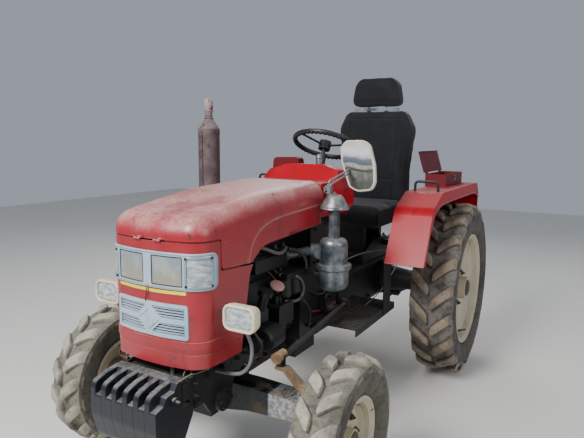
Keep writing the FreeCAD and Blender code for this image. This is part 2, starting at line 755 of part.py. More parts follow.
# Front axle: beam with a swelling for the differential, and upright kingpin housings
beam = join(
    front_slab([
        (-kingpin_y, 352, 10), (-200, 340, 40), (-90, beam_z - 66, 30), (90, beam_z - 66, 30),
        (200, 340, 40), (kingpin_y, 352, 10), (kingpin_y, 428, 10), (200, beam_z + beam_height / 2, 30),
        (-200, beam_z + beam_height / 2, 30), (-kingpin_y, 428, 10),
    ], wheelbase - beam_depth / 2, wheelbase + beam_depth / 2),
)
nose_case_rear = wheelbase - 150
nose_case = rod((nose_case_rear, 0, axle_pivot_z), (wheelbase - beam_depth / 2 + 1, 0, axle_pivot_z),
                nose_case_radius)
beam = join(beam, nose_case)
for side in (1, -1):
    housing = rod((wheelbase, side * kingpin_y, kingpin_housing_bottom),
                  (wheelbase, side * kingpin_y, kingpin_housing_top), kingpin_housing_radius)
    beam = join(beam, housing)
    beam = beam.cut(rod((wheelbase, side * kingpin_y, 300), (wheelbase, side * kingpin_y, 500),
                        kingpin_radius + shaft_gap))
    room = rod((wheelbase, side * kingpin_y, 250), (wheelbase, side * kingpin_y, kingpin_housing_bottom), 58)
    beam = beam.cut(room)
beam = beam.cut(rod((wheelbase - 1, 0, axle_pivot_z), (wheelbase + 200, 0, axle_pivot_z),
                    pivot_radius + shaft_gap))
save("front_axle", beam)

# Drive shaft from the transfer case to the axle, with a coupling sleeve at each end
transfer_front = clutch_rear + 150
shaft_start = transfer_front + seat_gap
shaft_end = nose_case_rear - seat_gap
save("front_drive_shaft", join(
    rod((shaft_start, 0, axle_pivot_z), (shaft_end, 0, axle_pivot_z), 18),
    rod((shaft_start, 0, axle_pivot_z), (shaft_start + 60, 0, axle_pivot_z), 27),
    rod((shaft_end - 60, 0, axle_pivot_z), (shaft_end, 0, axle_pivot_z), 27),
))


# Knuckles: final drive case under the kingpin, stub for the wheel, arms above and behind
for side, name in ((1, "knuckle_left"), (-1, "knuckle_right")):
    y = side * kingpin_y
    case_top = kingpin_housing_bottom - running_gap
    cap_low = kingpin_housing_top + running_gap
    parts = [
        rod((wheelbase, y, 248), (wheelbase, y, case_top), 50),
        rod((wheelbase, y, 300), (wheelbase, y, cap_low + 10), kingpin_radius),
        rod((wheelbase, y, cap_low), (wheelbase, y, cap_low + 18), 38),
        rod((wheelbase, y, front_radius), (wheelbase, side * (front_track_half - 52), front_radius), 32),
        rod((wheelbase, y, front_radius), (wheelbase, side * (front_track_half + 10), front_radius), 24),
    ]
    # arm to the tie rod, behind the axle
    arm = side_slab([
        (wheelbase - tie_arm_reach - 16, tie_rod_z - 26, 6), (wheelbase, tie_rod_z - 30),
        (wheelbase, tie_rod_z - 10), (wheelbase - tie_arm_reach - 16, tie_rod_z - 12, 4),
    ], y - 16, y + 16)
    parts.append(arm)
    parts.append(rod((wheelbase - tie_arm_reach, y, tie_rod_z - 20),
                     (wheelbase - tie_arm_reach, y, tie_rod_z + 12), ball_pin_radius))
    if side == 1:
        reach = kingpin_y - steer_arm_reach
        arm = front_slab([
            (kingpin_y + 20, cap_low), (kingpin_y + 20, cap_low + 18), (kingpin_y - 30, cap_low + 26, 20),
            (reach + 30, steer_ball_z - 24, 20), (reach - 18, steer_ball_z - 24, 6),
            (reach - 18, steer_ball_z - 38, 6), (reach + 20, steer_ball_z - 40, 20),
            (kingpin_y - 40, cap_low, 20),
        ], wheelbase - 17, wheelbase + 17)
        parts.append(arm)
        parts.append(rod((wheelbase, reach, steer_ball_z - 30), (wheelbase, reach, steer_ball_z + 12),
                         ball_pin_radius))
    save(name, join(*parts))

# Tie rod behind the axle, with a socket at each end
tie_x = wheelbase - tie_arm_reach
tie = [rod((tie_x, -kingpin_y, tie_rod_z + 4), (tie_x, kingpin_y, tie_rod_z + 4), 11)]
for y in (-kingpin_y, kingpin_y):
    tie.append(rod((tie_x, y, tie_rod_z - 12 + running_gap), (tie_x, y, tie_rod_z + 20), socket_radius))
tie = join(*tie)
for y in (-kingpin_y, kingpin_y):
    tie = tie.cut(rod((tie_x, y, tie_rod_z - 40), (tie_x, y, tie_rod_z + 12 + running_gap),
                      ball_pin_radius + shaft_gap))
save("tie_rod", tie)

# Drag link from the steering arm back to the drop arm; its rear eye lies beside the drop arm's stud
ball_y = kingpin_y - steer_arm_reach
drag_front = V(wheelbase, ball_y, steer_ball_z + 4)
gear_x = clutch_rear + 5
gear_z = drag_rear_z + pitman_radius
drag_rear = V(gear_x, drag_rear_y, drag_rear_z)
drag = join(
    rod(tuple(drag_front), tuple(drag_rear), 12),
    rod((wheelbase, ball_y, steer_ball_z - 24 + running_gap), (wheelbase, ball_y, steer_ball_z + 22),
        socket_radius),
    rod((gear_x, drag_rear_y - 14, drag_rear_z), (gear_x, drag_rear_y + 14, drag_rear_z), socket_radius),
)
pin_top = steer_ball_z + 12 + running_gap
drag = drag.cut(rod((wheelbase, ball_y, steer_ball_z - 60), (wheelbase, ball_y, pin_top),
                    ball_pin_radius + shaft_gap))
save("drag_link", drag)

# Drop arm on the steering gear's cross shaft
pitman_y = drag_rear_y - 14 - running_gap
pitman = join(
    rod((gear_x, pitman_y - 44, gear_z), (gear_x, pitman_y - 12, gear_z), 32),
    side_slab([
        (gear_x - 26, gear_z + 10, 20), (gear_x + 26, gear_z + 10, 20), (gear_x + 15, drag_rear_z - 13, 12),
        (gear_x - 15, drag_rear_z - 13, 12),
    ], pitman_y - 30, pitman_y - 14),
    rod((gear_x, pitman_y - 20, drag_rear_z), (gear_x, pitman_y, drag_rear_z), 10),
)
gear_shaft_radius = 15.0
gear_half = 55.0
pitman = pitman.cut(rod((gear_x, pitman_y - 60, gear_z), (gear_x, pitman_y - 14, gear_z),
                        gear_shaft_radius + shaft_gap))
save("drop_arm", pitman)

# Steering gear on the clutch housing, with the column up to the wheel
axis = column_axis
foot = wheel_centre - axis * (wheel_z - gear_z) / axis.z
sleeve_top = wheel_centre - axis * 175
gear = join(
    box(min(gear_x, foot.x) - 60, gear_x + 60, -40, 150, gear_z - gear_half, gear_z + 45),
    rod((gear_x, 100, gear_z), (gear_x, pitman_y - 20, gear_z), gear_shaft_radius),
    rod(tuple(foot), tuple(wheel_centre - axis * 60), column_radius),
    rod(tuple(foot), tuple(sleeve_top), column_sleeve_radius),
    cone(tuple(sleeve_top), tuple(sleeve_top + axis * 17), column_sleeve_radius, column_radius),
    rod(tuple(wheel_centre - axis * 70), tuple(wheel_centre - axis * (2 + running_gap)), 10),
)
save("steering_gear", gear)

# Steering wheel: rim, hub, three spokes
rim = Part.makeTorus(wheel_radius - wheel_grip, wheel_grip)
spokes = []
for i in range(3):
    spoke = rod((20, 0, -6), (wheel_radius - wheel_grip, 0, 0), 6)
    spoke.rotate(V(0, 0, 0), V(0, 0, 1), 90 + 120 * i)
    spokes.append(spoke)
wheel_hub = rod((0, 0, -30), (0, 0, 16), 32)
steering_wheel = join(rim, wheel_hub, *spokes)
steering_wheel = steering_wheel.cut(rod((0, 0, -60), (0, 0, -2), 10 + shaft_gap))
steering_wheel.rotate(V(0, 0, 0), V(0, 1, 0), -wheel_tilt)
steering_wheel.translate(wheel_centre)
save("steering_wheel", steering_wheel)

# Transmission: clutch housing, gearbox and rear cover as one line of castings
clutch = front_slab([
    (-150, 480, 30), (150, 480, 30), (150, gear_z - gear_half - seat_gap, 60),
    (-150, gear_z - gear_half - seat_gap, 60),
], clutch_rear, engine_rear - 70 - seat_gap)
gearbox = front_slab([
    (-gearbox_half, gearbox_bottom, 25), (gearbox_half, gearbox_bottom, 25), (gearbox_half, gearbox_top, 25),
    (-gearbox_half, gearbox_top, 25),
], gearbox_rear, clutch_rear)
transfer = box(clutch_rear - 50, transfer_front, -70, 70, 315, 500)
transmission = join(clutch, gearbox, transfer)
transmission = transmission.cut(rod((gearbox_rear - 1, 0, pto_z), (gearbox_rear + pto_seat, 0, pto_z),
                                    pto_radius + shaft_gap))
save("transmission", transmission)

# Rear axle: trumpets, shaft ends, posts for the fenders and hangers for the lower links
axle_sides = []
for side in (1, -1):
    post_y = sorted((side * 388, side * (fender_inner - seat_gap)))
    hanger_y = sorted((side * 157, side * 173))
    flange_y = side * (gearbox_half + seat_gap)
    pieces = [
        cone((0, flange_y, rear_radius), (0, side * 300, rear_radius), 90, trumpet_radius),
        rod((0, flange_y, rear_radius), (0, flange_y + side * 16, rear_radius), 108),
        rod((0, side * 300, rear_radius), (0, side * trumpet_end, rear_radius), trumpet_radius),
        rod((0, side * 412, rear_radius), (0, side * trumpet_end, rear_radius), 84),
        rod((0, side * trumpet_end, rear_radius), (0, side * 640, rear_radius), axle_shaft_radius),
        box(-45, 45, *post_y, rear_radius, fender_top - 180),
        box(lift_shaft_x - 28, lift_shaft_x + 28, *hanger_y, lower_pivot_z - 28, rear_radius - 36),
        rod((lift_shaft_x, side * 160, lower_pivot_z), (lift_shaft_x, side * 228, lower_pivot_z), 12),
    ]
    axle_sides.append(join(*pieces))
save("rear_axle", *axle_sides)

# Lift housing over the gearbox, with its cross shaft
lift_housing = side_slab([
    (-125, gearbox_top + seat_gap), (300, gearbox_top + seat_gap), (300, 700, 20), (120, 762, 30),
    (-100, 762, 30), (-125, 730, 20),
], -105, 105)
cross = rod((lift_shaft_x, -186, lift_shaft_z), (lift_shaft_x, 186, lift_shaft_z), 20)
lift_housing = join(lift_housing, cross)
save("lift_housing", lift_housing)

# Lift arms
arms = []
for side in (1, -1):
    y = side * 200
    end = (lift_shaft_x + lift_arm_dx, y, lift_shaft_z + lift_arm_dz)
    arm = join(
        rod((lift_shaft_x, y - side * 28, lift_shaft_z), (lift_shaft_x, y + side * 14, lift_shaft_z), 36),
        side_slab([
            (lift_shaft_x, lift_shaft_z - 28), (lift_shaft_x, lift_shaft_z + 28),
            (end[0] - 18, end[2] + 18, 14), (end[0] - 18, end[2] - 18, 14),
        ], y - 9, y + 9),
    )
    bore_end = (lift_shaft_x, y - side * 13.5, lift_shaft_z)
    arm = arm.cut(rod((lift_shaft_x, y - side * 60, lift_shaft_z), bore_end, 20 + shaft_gap))
    pin = rod((end[0], y - 9, end[2]), (end[0], y + side * 30, end[2]), 8)
    if side < 0:
        pin = rod((end[0], y + 9, end[2]), (end[0], y - 30, end[2]), 8)
    arms.append(join(arm, pin))
save("lift_arms", *arms)

# Lower links with ball ends, and a stud for the lift rod on the inner side of each
lift_rod_x = lift_shaft_x + lift_arm_dx
rod_low_z = lower_pivot_z + lift_arm_dz
rod_low_y = 240.0
rod_top_y = 222.0
links = []
for side in (1, -1):
    start = V(lift_shaft_x, side * 200, lower_pivot_z)
    end = V(lower_ball_x, side * lower_ball_y, lower_ball_z)
    link = join(
        rod(tuple(start), tuple(end), 14),
        rod((start.x, start.y - 17, start.z), (start.x, start.y + 17, start.z), 26),
        rod((end.x, end.y - 18, end.z), (end.x, end.y + 18, end.z), 34),
        rod((lift_rod_x, side * (rod_low_y - 10), rod_low_z), (lift_rod_x, side * 268, rod_low_z), 8),
    )
    link = link.cut(rod((start.x, start.y - 60, start.z), (start.x, start.y + 60, start.z), 12 + shaft_gap))
    link = link.cut(rod((end.x, end.y - 60, end.z), (end.x, end.y + 60, end.z), lower_pin_radius))
    links.append(link)
save("lower_links", *links)

# Lift rods between the arms and the links' studs
rods = []
for side in (1, -1):
    top = V(lift_rod_x, side * rod_top_y, lift_shaft_z + lift_arm_dz)
    low = V(lift_rod_x, side * rod_low_y, rod_low_z)
    lift_rod = join(
        rod(tuple(top), tuple(low), 10),
        rod((top.x, top.y - 9, top.z), (top.x, top.y + 9, top.z), 20),
        rod((low.x, low.y - 7, low.z), (low.x, low.y + 7, low.z), 20),
    )
    lift_rod = lift_rod.cut(rod((top.x, top.y - 20, top.z), (top.x, top.y + 20, top.z), 8 + shaft_gap))
    rods.append(lift_rod.cut(rod((low.x, low.y - 20, low.z), (low.x, low.y + 20, low.z), 8 + running_gap)))
save("lift_rods", *rods)

# Top link and its bracket, power take-off and drawbar
top_pivot = V(-185, 0, 660)
bracket = []
for side in (1, -1):
    y0, y1 = sorted((side * 22, side * 34))
    bracket.append(side_slab([
        (gearbox_rear - seat_gap, 560), (gearbox_rear - seat_gap, 638),
        (top_pivot.x - 18, top_pivot.z + 18, 16), (top_pivot.x - 18, top_pivot.z - 18, 16),
    ], y0, y1))
bracket.append(box(gearbox_rear - 12, gearbox_rear - seat_gap, -34, 34, 560, 638))
bracket.append(rod((top_pivot.x, -34, top_pivot.z), (top_pivot.x, 34, top_pivot.z), 9))
pto_cover = rod((gearbox_rear - 40, 0, pto_z), (gearbox_rear - seat_gap, 0, pto_z), 40).cut(
    rod((gearbox_rear - 41, 0, pto_z), (gearbox_rear, 0, pto_z), 32))
drawbar = side_slab([
    (gearbox_rear - seat_gap, 395), (gearbox_rear - seat_gap, 470), (gearbox_rear - 14, 470),
    (gearbox_rear - 14, 414, 12), (gearbox_rear - 150, 414, 6), (gearbox_rear - 150, 395, 6),
], -60, 60).cut(rod((gearbox_rear - 115, 0, 380), (gearbox_rear - 115, 0, 440), 13))
save("hitch_brackets", join(*bracket), pto_cover, drawbar)
pto_end = gearbox_rear + pto_seat - running_gap
save("pto_shaft", rod((gearbox_rear - 95, 0, pto_z), (pto_end, 0, pto_z), pto_radius))
top_link = join(
    rod((top_pivot.x, 0, top_pivot.z), (-560, 0, 700), 14),
    rod((top_pivot.x, -18, top_pivot.z), (top_pivot.x, 18, top_pivot.z), 24),
    rod((-560, -22, 700), (-560, 22, 700), 26),
)
top_link = top_link.cut(rod((top_pivot.x, -40, top_pivot.z), (top_pivot.x, 40, top_pivot.z), 9 + shaft_gap))
top_link = top_link.cut(rod((-560, -40, 700), (-560, 40, 700), top_pin_radius))
save("top_link", top_link)


# Tyres and rims
def tyre(radius, width, flange, rim_half, centre, lugs, rows):
    """Flat-faced carcass fused with its lugs, its beads between the rim's flanges.

    Each row is (distance from the middle, drop of a lug's top, drop of the ground between lugs); a lug
    runs outward through the rows and leads by an angle that grows with the distance.
    """
    pitch = 2 * math.pi / lugs
    wide = pitch * lug_share
    lowest = min(rows, key=lambda row: row[1])
    chord = math.cos(wide / 2)
    bead = math.cos((pitch - wide) / 2)
    faces = []

    def lead(along):
        return (along - rows[0][0]) * lug_lead / radius

    def spot(angle, along, r):
        return V(centre[0] + r * math.cos(angle), centre[1] + along, centre[2] + r * math.sin(angle))

    def skin(side, *corners):
        if side < 0:
            corners = corners[::-1]
        for i in range(1, len(corners) - 1):
            trio = [corners[0], corners[i], corners[i + 1]]
            if min((trio[j] - trio[j - 1]).Length for j in range(3)) > 0.01:
                faces.append(Part.Face(Part.makePolygon(trio + trio[:1])))

    def zip_up(left, right):
        """Strip between two rings of (angle, point), each over one full turn."""
        left = left + [(left[0][0] + 2 * math.pi, left[0][1])]
        right = right + [(right[0][0] + 2 * math.pi, right[0][1])]
        i = 0
        j = 0
        while i < len(left) - 1 or j < len(right) - 1:
            step_left = j == len(right) - 1 or (i < len(left) - 1 and left[i + 1][0] < right[j + 1][0])
            if step_left:
                skin(1, right[j][1], left[i + 1][1], left[i][1])
                i += 1
            else:
                skin(1, right[j][1], right[j + 1][1], left[i][1])
                j += 1

    edges = {}
    for side in (1, -1):
        start = -math.pi / 2 - wide / 2 - lead(lowest[0]) - (pitch / 2 if side < 0 else 0)
        ground = []
        tops = []
        for along, top_drop, low_drop in rows:
            angles = [start + k * pitch + part + lead(along) for k in range(lugs) for part in (0, wide)]
            ground.append([spot(a, side * along, (radius - low_drop) / chord) for a in angles])
            tops.append([spot(a, side * along, (radius - top_drop) / chord) for a in angles])
        wall = [
            (width / 2, (flange + radius) / 2), (rim_half - 8, flange + 2), (rim_half - 12, flange - 20.2),
        ]
        for along, r in wall:
            ground.append([spot(a, side * along, r / bead) for a in angles])
        for j in range(len(ground) - 1):
            near = ground[j]
            far = ground[j + 1]
            for k in range(2 * lugs):
                m = (k + 1) % (2 * lugs)
                on_lug = k % 2 == 0 and j < len(rows) - 1
                if not on_lug:
                    skin(side, near[k], near[m], far[m], far[k])
                    continue
                skin(side, tops[j][k], tops[j][m], tops[j + 1][m], tops[j + 1][k])
                skin(side, near[k], tops[j][k], tops[j + 1][k], far[k])
                skin(side, far[m], tops[j + 1][m], tops[j][m], near[m])
                if j == 0:
                    skin(side, near[k], near[m], tops[0][m], tops[0][k])
        first = [start + k * pitch + part for k in range(lugs) for part in (0, wide)]
        edges[side] = (list(zip(first, ground[0])), list(zip(angles, ground[-1])))
    zip_up(edges[1][0], edges[-1][0])
    shell_faces = len(faces)
    zip_up(edges[1][1], edges[-1][1])
    faces[shell_faces:] = [face.reversed() for face in faces[shell_faces:]]
    closed = Part.Shell(faces)
    closed.sewShape()
    solid = Part.Solid(closed)
    if solid.Volume < 0:
        solid.reverse()
    return solid


def rim_form(flange, rim_half, disc_at, hub_radius, hub_in, hub_out, bore, centre, side):
    """Rim turned about the wheel's axle: flanges, well, disc and hub."""
    profile = [
        (flange, rim_half), (flange, rim_half - 7), (flange - 20.5, rim_half - 11),
        (flange - 36, rim_half - 42), (flange - 36, -rim_half + 42), (flange - 20.5, -rim_half + 11),
        (flange, -rim_half + 7), (flange, -rim_half),
        (flange - 6, -rim_half), (flange - 27, -rim_half + 12), (flange - 42, -rim_half + 45),
        (flange - 42, disc_at - 8), (hub_radius + 55, disc_at - 26), (hub_radius, disc_at - 26),
        (hub_radius, hub_in), (bore, hub_in), (bore, hub_out - 12), (0, hub_out - 12), (0, hub_out),
        (hub_radius - 8, hub_out), (hub_radius - 4, disc_at - 20), (hub_radius + 58, disc_at - 20),
        (flange - 42, disc_at), (flange - 42, rim_half - 45), (flange - 27, rim_half - 12),
        (flange - 6, rim_half),
    ]
    wheel = turned(profile, (0, 0, 0), (0, 1, 0))
    if side < 0:
        wheel = wheel.mirror(V(0, 0, 0), V(0, 1, 0))
    wheel.translate(V(*centre))
    return wheel


def lug_rows(width, height, middle, shoulder_drop, fade):
    rows = [(6, 3 if middle else 0, height + 2)]
    if middle:
        rows.append((width / 4, 0, height + 1))
    rows.append((width / 2 - 13, shoulder_drop, height + shoulder_drop - 1))
    rows.append((width / 2, fade, fade))
    return rows


# columns: name, station, track, radius, width, flange, rim half, disc, hub radius, hub in, hub out, shaft
wheel_rows = [
    ("rear", 0.0, rear_track_half, rear_radius, rear_tyre_width, rear_flange_radius, rear_rim_half_width,
     62.0, 72.0, trumpet_end + 1 - rear_track_half, 92.0, axle_shaft_radius),
    ("front", wheelbase, front_track_half, front_radius, front_tyre_width, front_flange_radius,
     front_rim_half_width, 34.0, 52.0, -51.0, 44.0, 24.0),
]
tread = {
    "rear": (rear_lug_pairs, lug_rows(rear_tyre_width, rear_lug_height, True, 14, 75)),
    "front": (front_lug_pairs, lug_rows(front_tyre_width, front_lug_height, False, 12, 52)),
}
for name, station, track, radius, width, flange, rim_half, disc, hub_r, hub_in, hub_out, shaft in wheel_rows:
    for side, word in ((1, "left"), (-1, "right")):
        centre = (station, side * track, radius)
        save(name + "_tyre_" + word, tyre(radius, width, flange, rim_half, centre, *tread[name]))
        save(name + "_rim_" + word,
             rim_form(flange, rim_half, disc, hub_r, hub_in, hub_out, shaft + shaft_gap, centre, side))

save("bonnet", bonnet)
save("nose_cowl", nose)
save("lamp_bezel", bezel)
save("lamp_lenses", *lenses)
save("grille_panel", grille)
save("dash_cowl", dash)

# Fenders: a folded sheet over each rear tyre with an outer lip and an inner wall
fender_low = rear_radius + 266


def fender_face(inset):
    return [
        (fender_front - inset, fender_low), (fender_front - 132 - inset, fender_top - 75, 90),
        (fender_front - 297, fender_top - inset, 120), (fender_rear + 64, fender_top - inset, 70),
        (fender_rear + inset, fender_top - 98), (fender_rear + inset, fender_low - 200),
        (fender_front - inset, fender_low - 200),
    ]


fender = side_slab(fender_face(0), fender_inner, fender_outer).cut(
    side_slab(fender_face(fender_sheet), fender_inner + fender_sheet, fender_outer - fender_sheet))
fender = fender.cut(box(-rear_radius - 100, fender_front + 50, fender_inner - 1, fender_outer + 1,
                        fender_low - 260, fender_low))
outside = (fender_outer - fender_sheet - 1, fender_outer + 2)
fender = fender.cut(side_slab([
    (fender_front - 24, fender_low - 80), (fender_front - 32, fender_low + 28),
    (fender_front - 154, fender_top - 104, 90), (fender_front - 312, fender_top - 58, 100),
    (fender_rear + 84, fender_top - 58, 60), (fender_rear + 14, fender_top - 90),
    (fender_rear - 16, fender_top - 100), (fender_rear - 16, fender_low - 80),
], *outside))
fender = fender.cut(side_slab([
    (-250, fender_low - 72), (250, fender_low - 72),
    (200, fender_low + 88, 100), (-200, fender_low + 88, 100),
], fender_inner - 1, fender_inner + 5))
handle = pipe([
    (fender_front - 352, 438, fender_top + seat_gap), (fender_front - 352, 438, fender_top + 50),
    (fender_front - 352, 562, fender_top + 50), (fender_front - 352, 562, fender_top + seat_gap),
], 7, 18)
save("fenders", *both(fender))
lamp_z = fender_top - 170
save("rear_lamps", *both(front_slab([
    (500, lamp_z, 12), (580, lamp_z, 12), (580, lamp_z + 52, 12), (500, lamp_z + 52, 12),
], fender_rear - 16, fender_rear - seat_gap)))
save("grab_handles", *both(handle))

# Toolbox on the left fender, its lid hinged along the inner edge and standing open
toolbox = box(box_rear, box_front, box_inner, box_outer, fender_top + seat_gap, box_top)
toolbox = toolbox.cut(box(box_rear + 3, box_front - 3, box_inner + 3, box_outer - 3,
                          fender_top + 4, box_top + 5))
lid_hinge = V(0, box_inner - 8, box_top + 2.5)
lid = box(box_rear, box_front, box_inner - 4, box_outer + 3, box_top + 0.5, box_top + 4.5)
lid = join(lid, box(box_rear, box_front, box_outer + 1, box_outer + 3, box_top - 8, box_top + 4.5))
for x in (box_rear + 40, box_front - 70):
    clear = rod((x - 1, lid_hinge.y, lid_hinge.z), (x + 31, lid_hinge.y, lid_hinge.z), 6)
    toolbox = join(
        toolbox, box(x, x + 14.5, lid_hinge.y, box_inner + 1, box_top - 8, box_top),
        rod((x, lid_hinge.y, lid_hinge.z), (x + 14.5, lid_hinge.y, lid_hinge.z), 5),
        rod((x, lid_hinge.y, lid_hinge.z), (x + 30, lid_hinge.y, lid_hinge.z), hinge_pin_radius),
    )
    lid = lid.cut(clear)
    lid = join(
        lid, rod((x + 15.5, lid_hinge.y, lid_hinge.z), (x + 30, lid_hinge.y, lid_hinge.z), 5),
        box(x + 15.5, x + 30, lid_hinge.y, box_inner + 20, box_top + 1.5, box_top + 4.5),
    )
    lid = lid.cut(rod((x - 1, lid_hinge.y, lid_hinge.z), (x + 31, lid_hinge.y, lid_hinge.z),
                      hinge_pin_radius + shaft_gap))
lid.rotate(lid_hinge, V(1, 0, 0), lid_open)
save("toolbox", toolbox)
save("toolbox_lid", lid)

# Platforms for the feet, with hangers on the transmission
platforms = []
platform_rear = 560.0
platform_front = body_rear - 20
for side in (1, -1):
    y0, y1 = sorted((side * 155, side * 400))
    plate = box(platform_rear, platform_front, y0, y1, 520, 525)
    y0, y1 = sorted((side * 396, side * 400))
    lip = box(platform_rear, platform_front, y0, y1, 490, 525)
    y0, y1 = sorted((side * (gearbox_half + seat_gap), side * 380))
    beams = [box(x, x + 30, y0, y1, 490, 520) for x in (platform_rear + 40, clutch_rear - 40)]
    y0, y1 = sorted((side * (fender_inner - 6.3), side * (fender_inner - seat_gap)))
    post = box(fender_front - 112, fender_front - 17, y0, y1, 500, fender_low + 28)
    platforms.append(join(plate, lip, *beams, post))
save("foot_platforms", *platforms)

# Pedals and levers
pedals = []
pedal_x = clutch_rear + 30
for side, spots in ((1, (190,)), (-1, (190, 252))):
    shaft = rod((pedal_x, side * (150 + seat_gap), 620), (pedal_x, side * (spots[-1] + 12), 620), 9)
    for y in spots:
        y *= side
        shaft = join(
            shaft, pipe([(pedal_x, y, 620), (pedal_x + 45, y, 640), (pedal_x + 30, y, 560)], 8, 14),
            box(pedal_x - 25, pedal_x + 45, y - 28, y + 28, 552, 560),
        )
    pedals.append(shaft)
levers = []
for y, x, top in ((40, 480, 820), (-40, 420, 800)):
    lever = join(
        pipe([(x, y, gearbox_top + seat_gap), (x, y, 700), (x + 40, y, top)], 7, 40),
        Part.makeSphere(18, V(x + 40, y, top)),
        rod((x, y, gearbox_top + seat_gap), (x, y, gearbox_top + 30), 22),
    )
    levers.append(lever)
save("controls", *pedals, *levers)

# Seat: frame on the lift housing, cushion, back and headrest
seat_frame = join(
    box(-60, 330, -180, 180, seat_pan_z - 14, seat_pan_z),
    box(-40, 0, -90, 90, 740, seat_pan_z - 10),
    box(220, 260, -90, 90, 690, seat_pan_z - 10),
).cut(side_slab([
    (-125, 600), (300 + seat_gap, 600), (300 + seat_gap, 700 + seat_gap, 20), (120, 762 + seat_gap, 30),
    (-100, 762 + seat_gap, 30), (-125, 730, 20),
], -105, 105))
back_rest = box(-180, -100, -70, 70, seat_pan_z - 14, seat_pan_z + 20 - seat_gap)
seat_frame = join(seat_frame, box(-180, -50, -70, 70, seat_pan_z - 14, seat_pan_z), back_rest)
save("seat_frame", seat_frame)
cushion_top = 985.0
cushion = side_slab([
    (-75, seat_pan_z + seat_gap, 20), (390, seat_pan_z + seat_gap, 30),
    (400, cushion_top, 45), (-75, cushion_top + 15, 20),
], -seat_half, seat_half)
save("seat_cushion", cushion)
back = side_slab([
    (-205, seat_pan_z + 20, 30), (-80, seat_pan_z + 20, 20), (-78, 1200), (-98, 1562, 30), (-190, 1562, 40),
    (-215, 1200),
], -255, 255)
back_face = front_slab([
    (-225, seat_pan_z + 20, 30), (225, seat_pan_z + 20, 30), (225, 1180, 100), (258, 1450, 120),
    (200, 1564, 60), (-200, 1564, 60), (-258, 1450, 120), (-225, 1180, 100),
], -300, 0)
back = back.common(back_face)
save("seat_back", back)
headrest = front_slab([
    (-168, 1602, 40), (168, 1602, 40), (160, 1775, 60), (-160, 1775, 60),
], -195, -95)
posts = [rod((-142, y, 1562.3), (-142, y, 1602), 6) for y in (-60, 60)]
save("headrest", join(headrest, *posts))

# Mirror on a bent double arm, clamped to a post on the dash's left side
mirror_x = dash_front - 233
mirror_head = front_slab([
    (255, 1152, 35), (300, 1130, 60), (372, 1142, 30), (388, 1180, 60), (382, 1262, 150), (355, 1356, 40),
    (320, 1375, 60), (230, 1372, 30), (204, 1340, 30), (212, 1268, 150),
], mirror_x - 12, mirror_x + 12)
post_x = body_rear - 45
post_y = 236.0
mirror_plate = box(post_x - 20, post_x + 20, 226 + seat_gap, 232, 1058, 1092)
mirror_post = rod((post_x, post_y, 1070), (post_x, post_y, 1178), 8)
mirror_clamp = join(
    box(post_x - 14, post_x + 14, post_y - 12, post_y + 14, 1134, 1170),
    rod((post_x, post_y, 1152), (post_x + 26, post_y - 8, 1152), 4),
    rod((post_x + 24, post_y - 10, 1140), (post_x + 24, post_y - 10, 1166), 3),
)
mirror_arms = [
    pipe([(post_x, post_y + dy, 1165), (post_x, post_y + dy, 1192 - drop), (post_x - 110, 272, 1232 - drop),
          (mirror_x + 10, 250, 1240 - drop), (mirror_x + 6, 262, 1240 - drop)], 4.5, 9)
    for dy, drop in ((2, 0), (9, 17))
]
save("mirror", join(mirror_head, mirror_plate, mirror_post, mirror_clamp, *mirror_arms))

# Fuel tank over the clutch housing, in the stand that carries the dash
stand = []
stand_x = dash_front - 87
for side in (1, -1):
    y0, y1 = sorted((side * (150 + seat_gap), side * 156.3))
    stand.append(box(stand_x, stand_x + 70, y0, y1, 600, dash_low + 6))
    y0, y1 = sorted((side * (150 + seat_gap), side * 180.5))
    stand.append(box(stand_x, stand_x + 70, y0, y1, dash_low, dash_low + 6))
stand.append(box(stand_x, stand_x + 70, -156, 156, 832, 838))
tank = side_slab([
    (stand_x - 88, 838, 18), (stand_x + 72, 838, 18), (stand_x + 72, 990, 18), (stand_x - 88, 990, 18),
], -146, 146)
save("fuel_tank", join(tank, *stand))

# Work lamps on curved stalks, each head a shell round a recessed face
stalk_x = body_front - 170
stalk = pipe([
    (stalk_x, rail_outer + seat_gap, 545), (stalk_x, 215, 545), (stalk_x - 20, 285, 575),
    (stalk_x - 20, 300, 645), (stalk_x + 45, 309, 760),
], 7, 30)


def lamp_outline(inset):
    return [
        (246 + inset, 744 + inset, 22), (372 - inset, 744 + inset, 22), (372 - inset, 832 - inset, 22),
        (246 + inset, 832 - inset, 22),
    ]


lamp_head = front_slab(lamp_outline(0), stalk_x + 25, stalk_x + 82)
lamp_head = lamp_head.cut(front_slab(lamp_outline(7), stalk_x + 74, stalk_x + 83))
save("work_lamps", *both(join(stalk, lamp_head)))

print("shift", shift)
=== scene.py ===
# %% [markdown]
# # A compact farm tractor, dressed for its portrait
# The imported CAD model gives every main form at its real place. This lesson loads it as a
# fixed frame, sets up the photographer's view, and then gives each part of the tractor the
# finish and the small pieces that a drawing leaves out: tread, bolts, hoses, cloth and dust.

# %% Load the frame
import math
import random

import bmesh
import bpy
from mathutils import Matrix, Vector


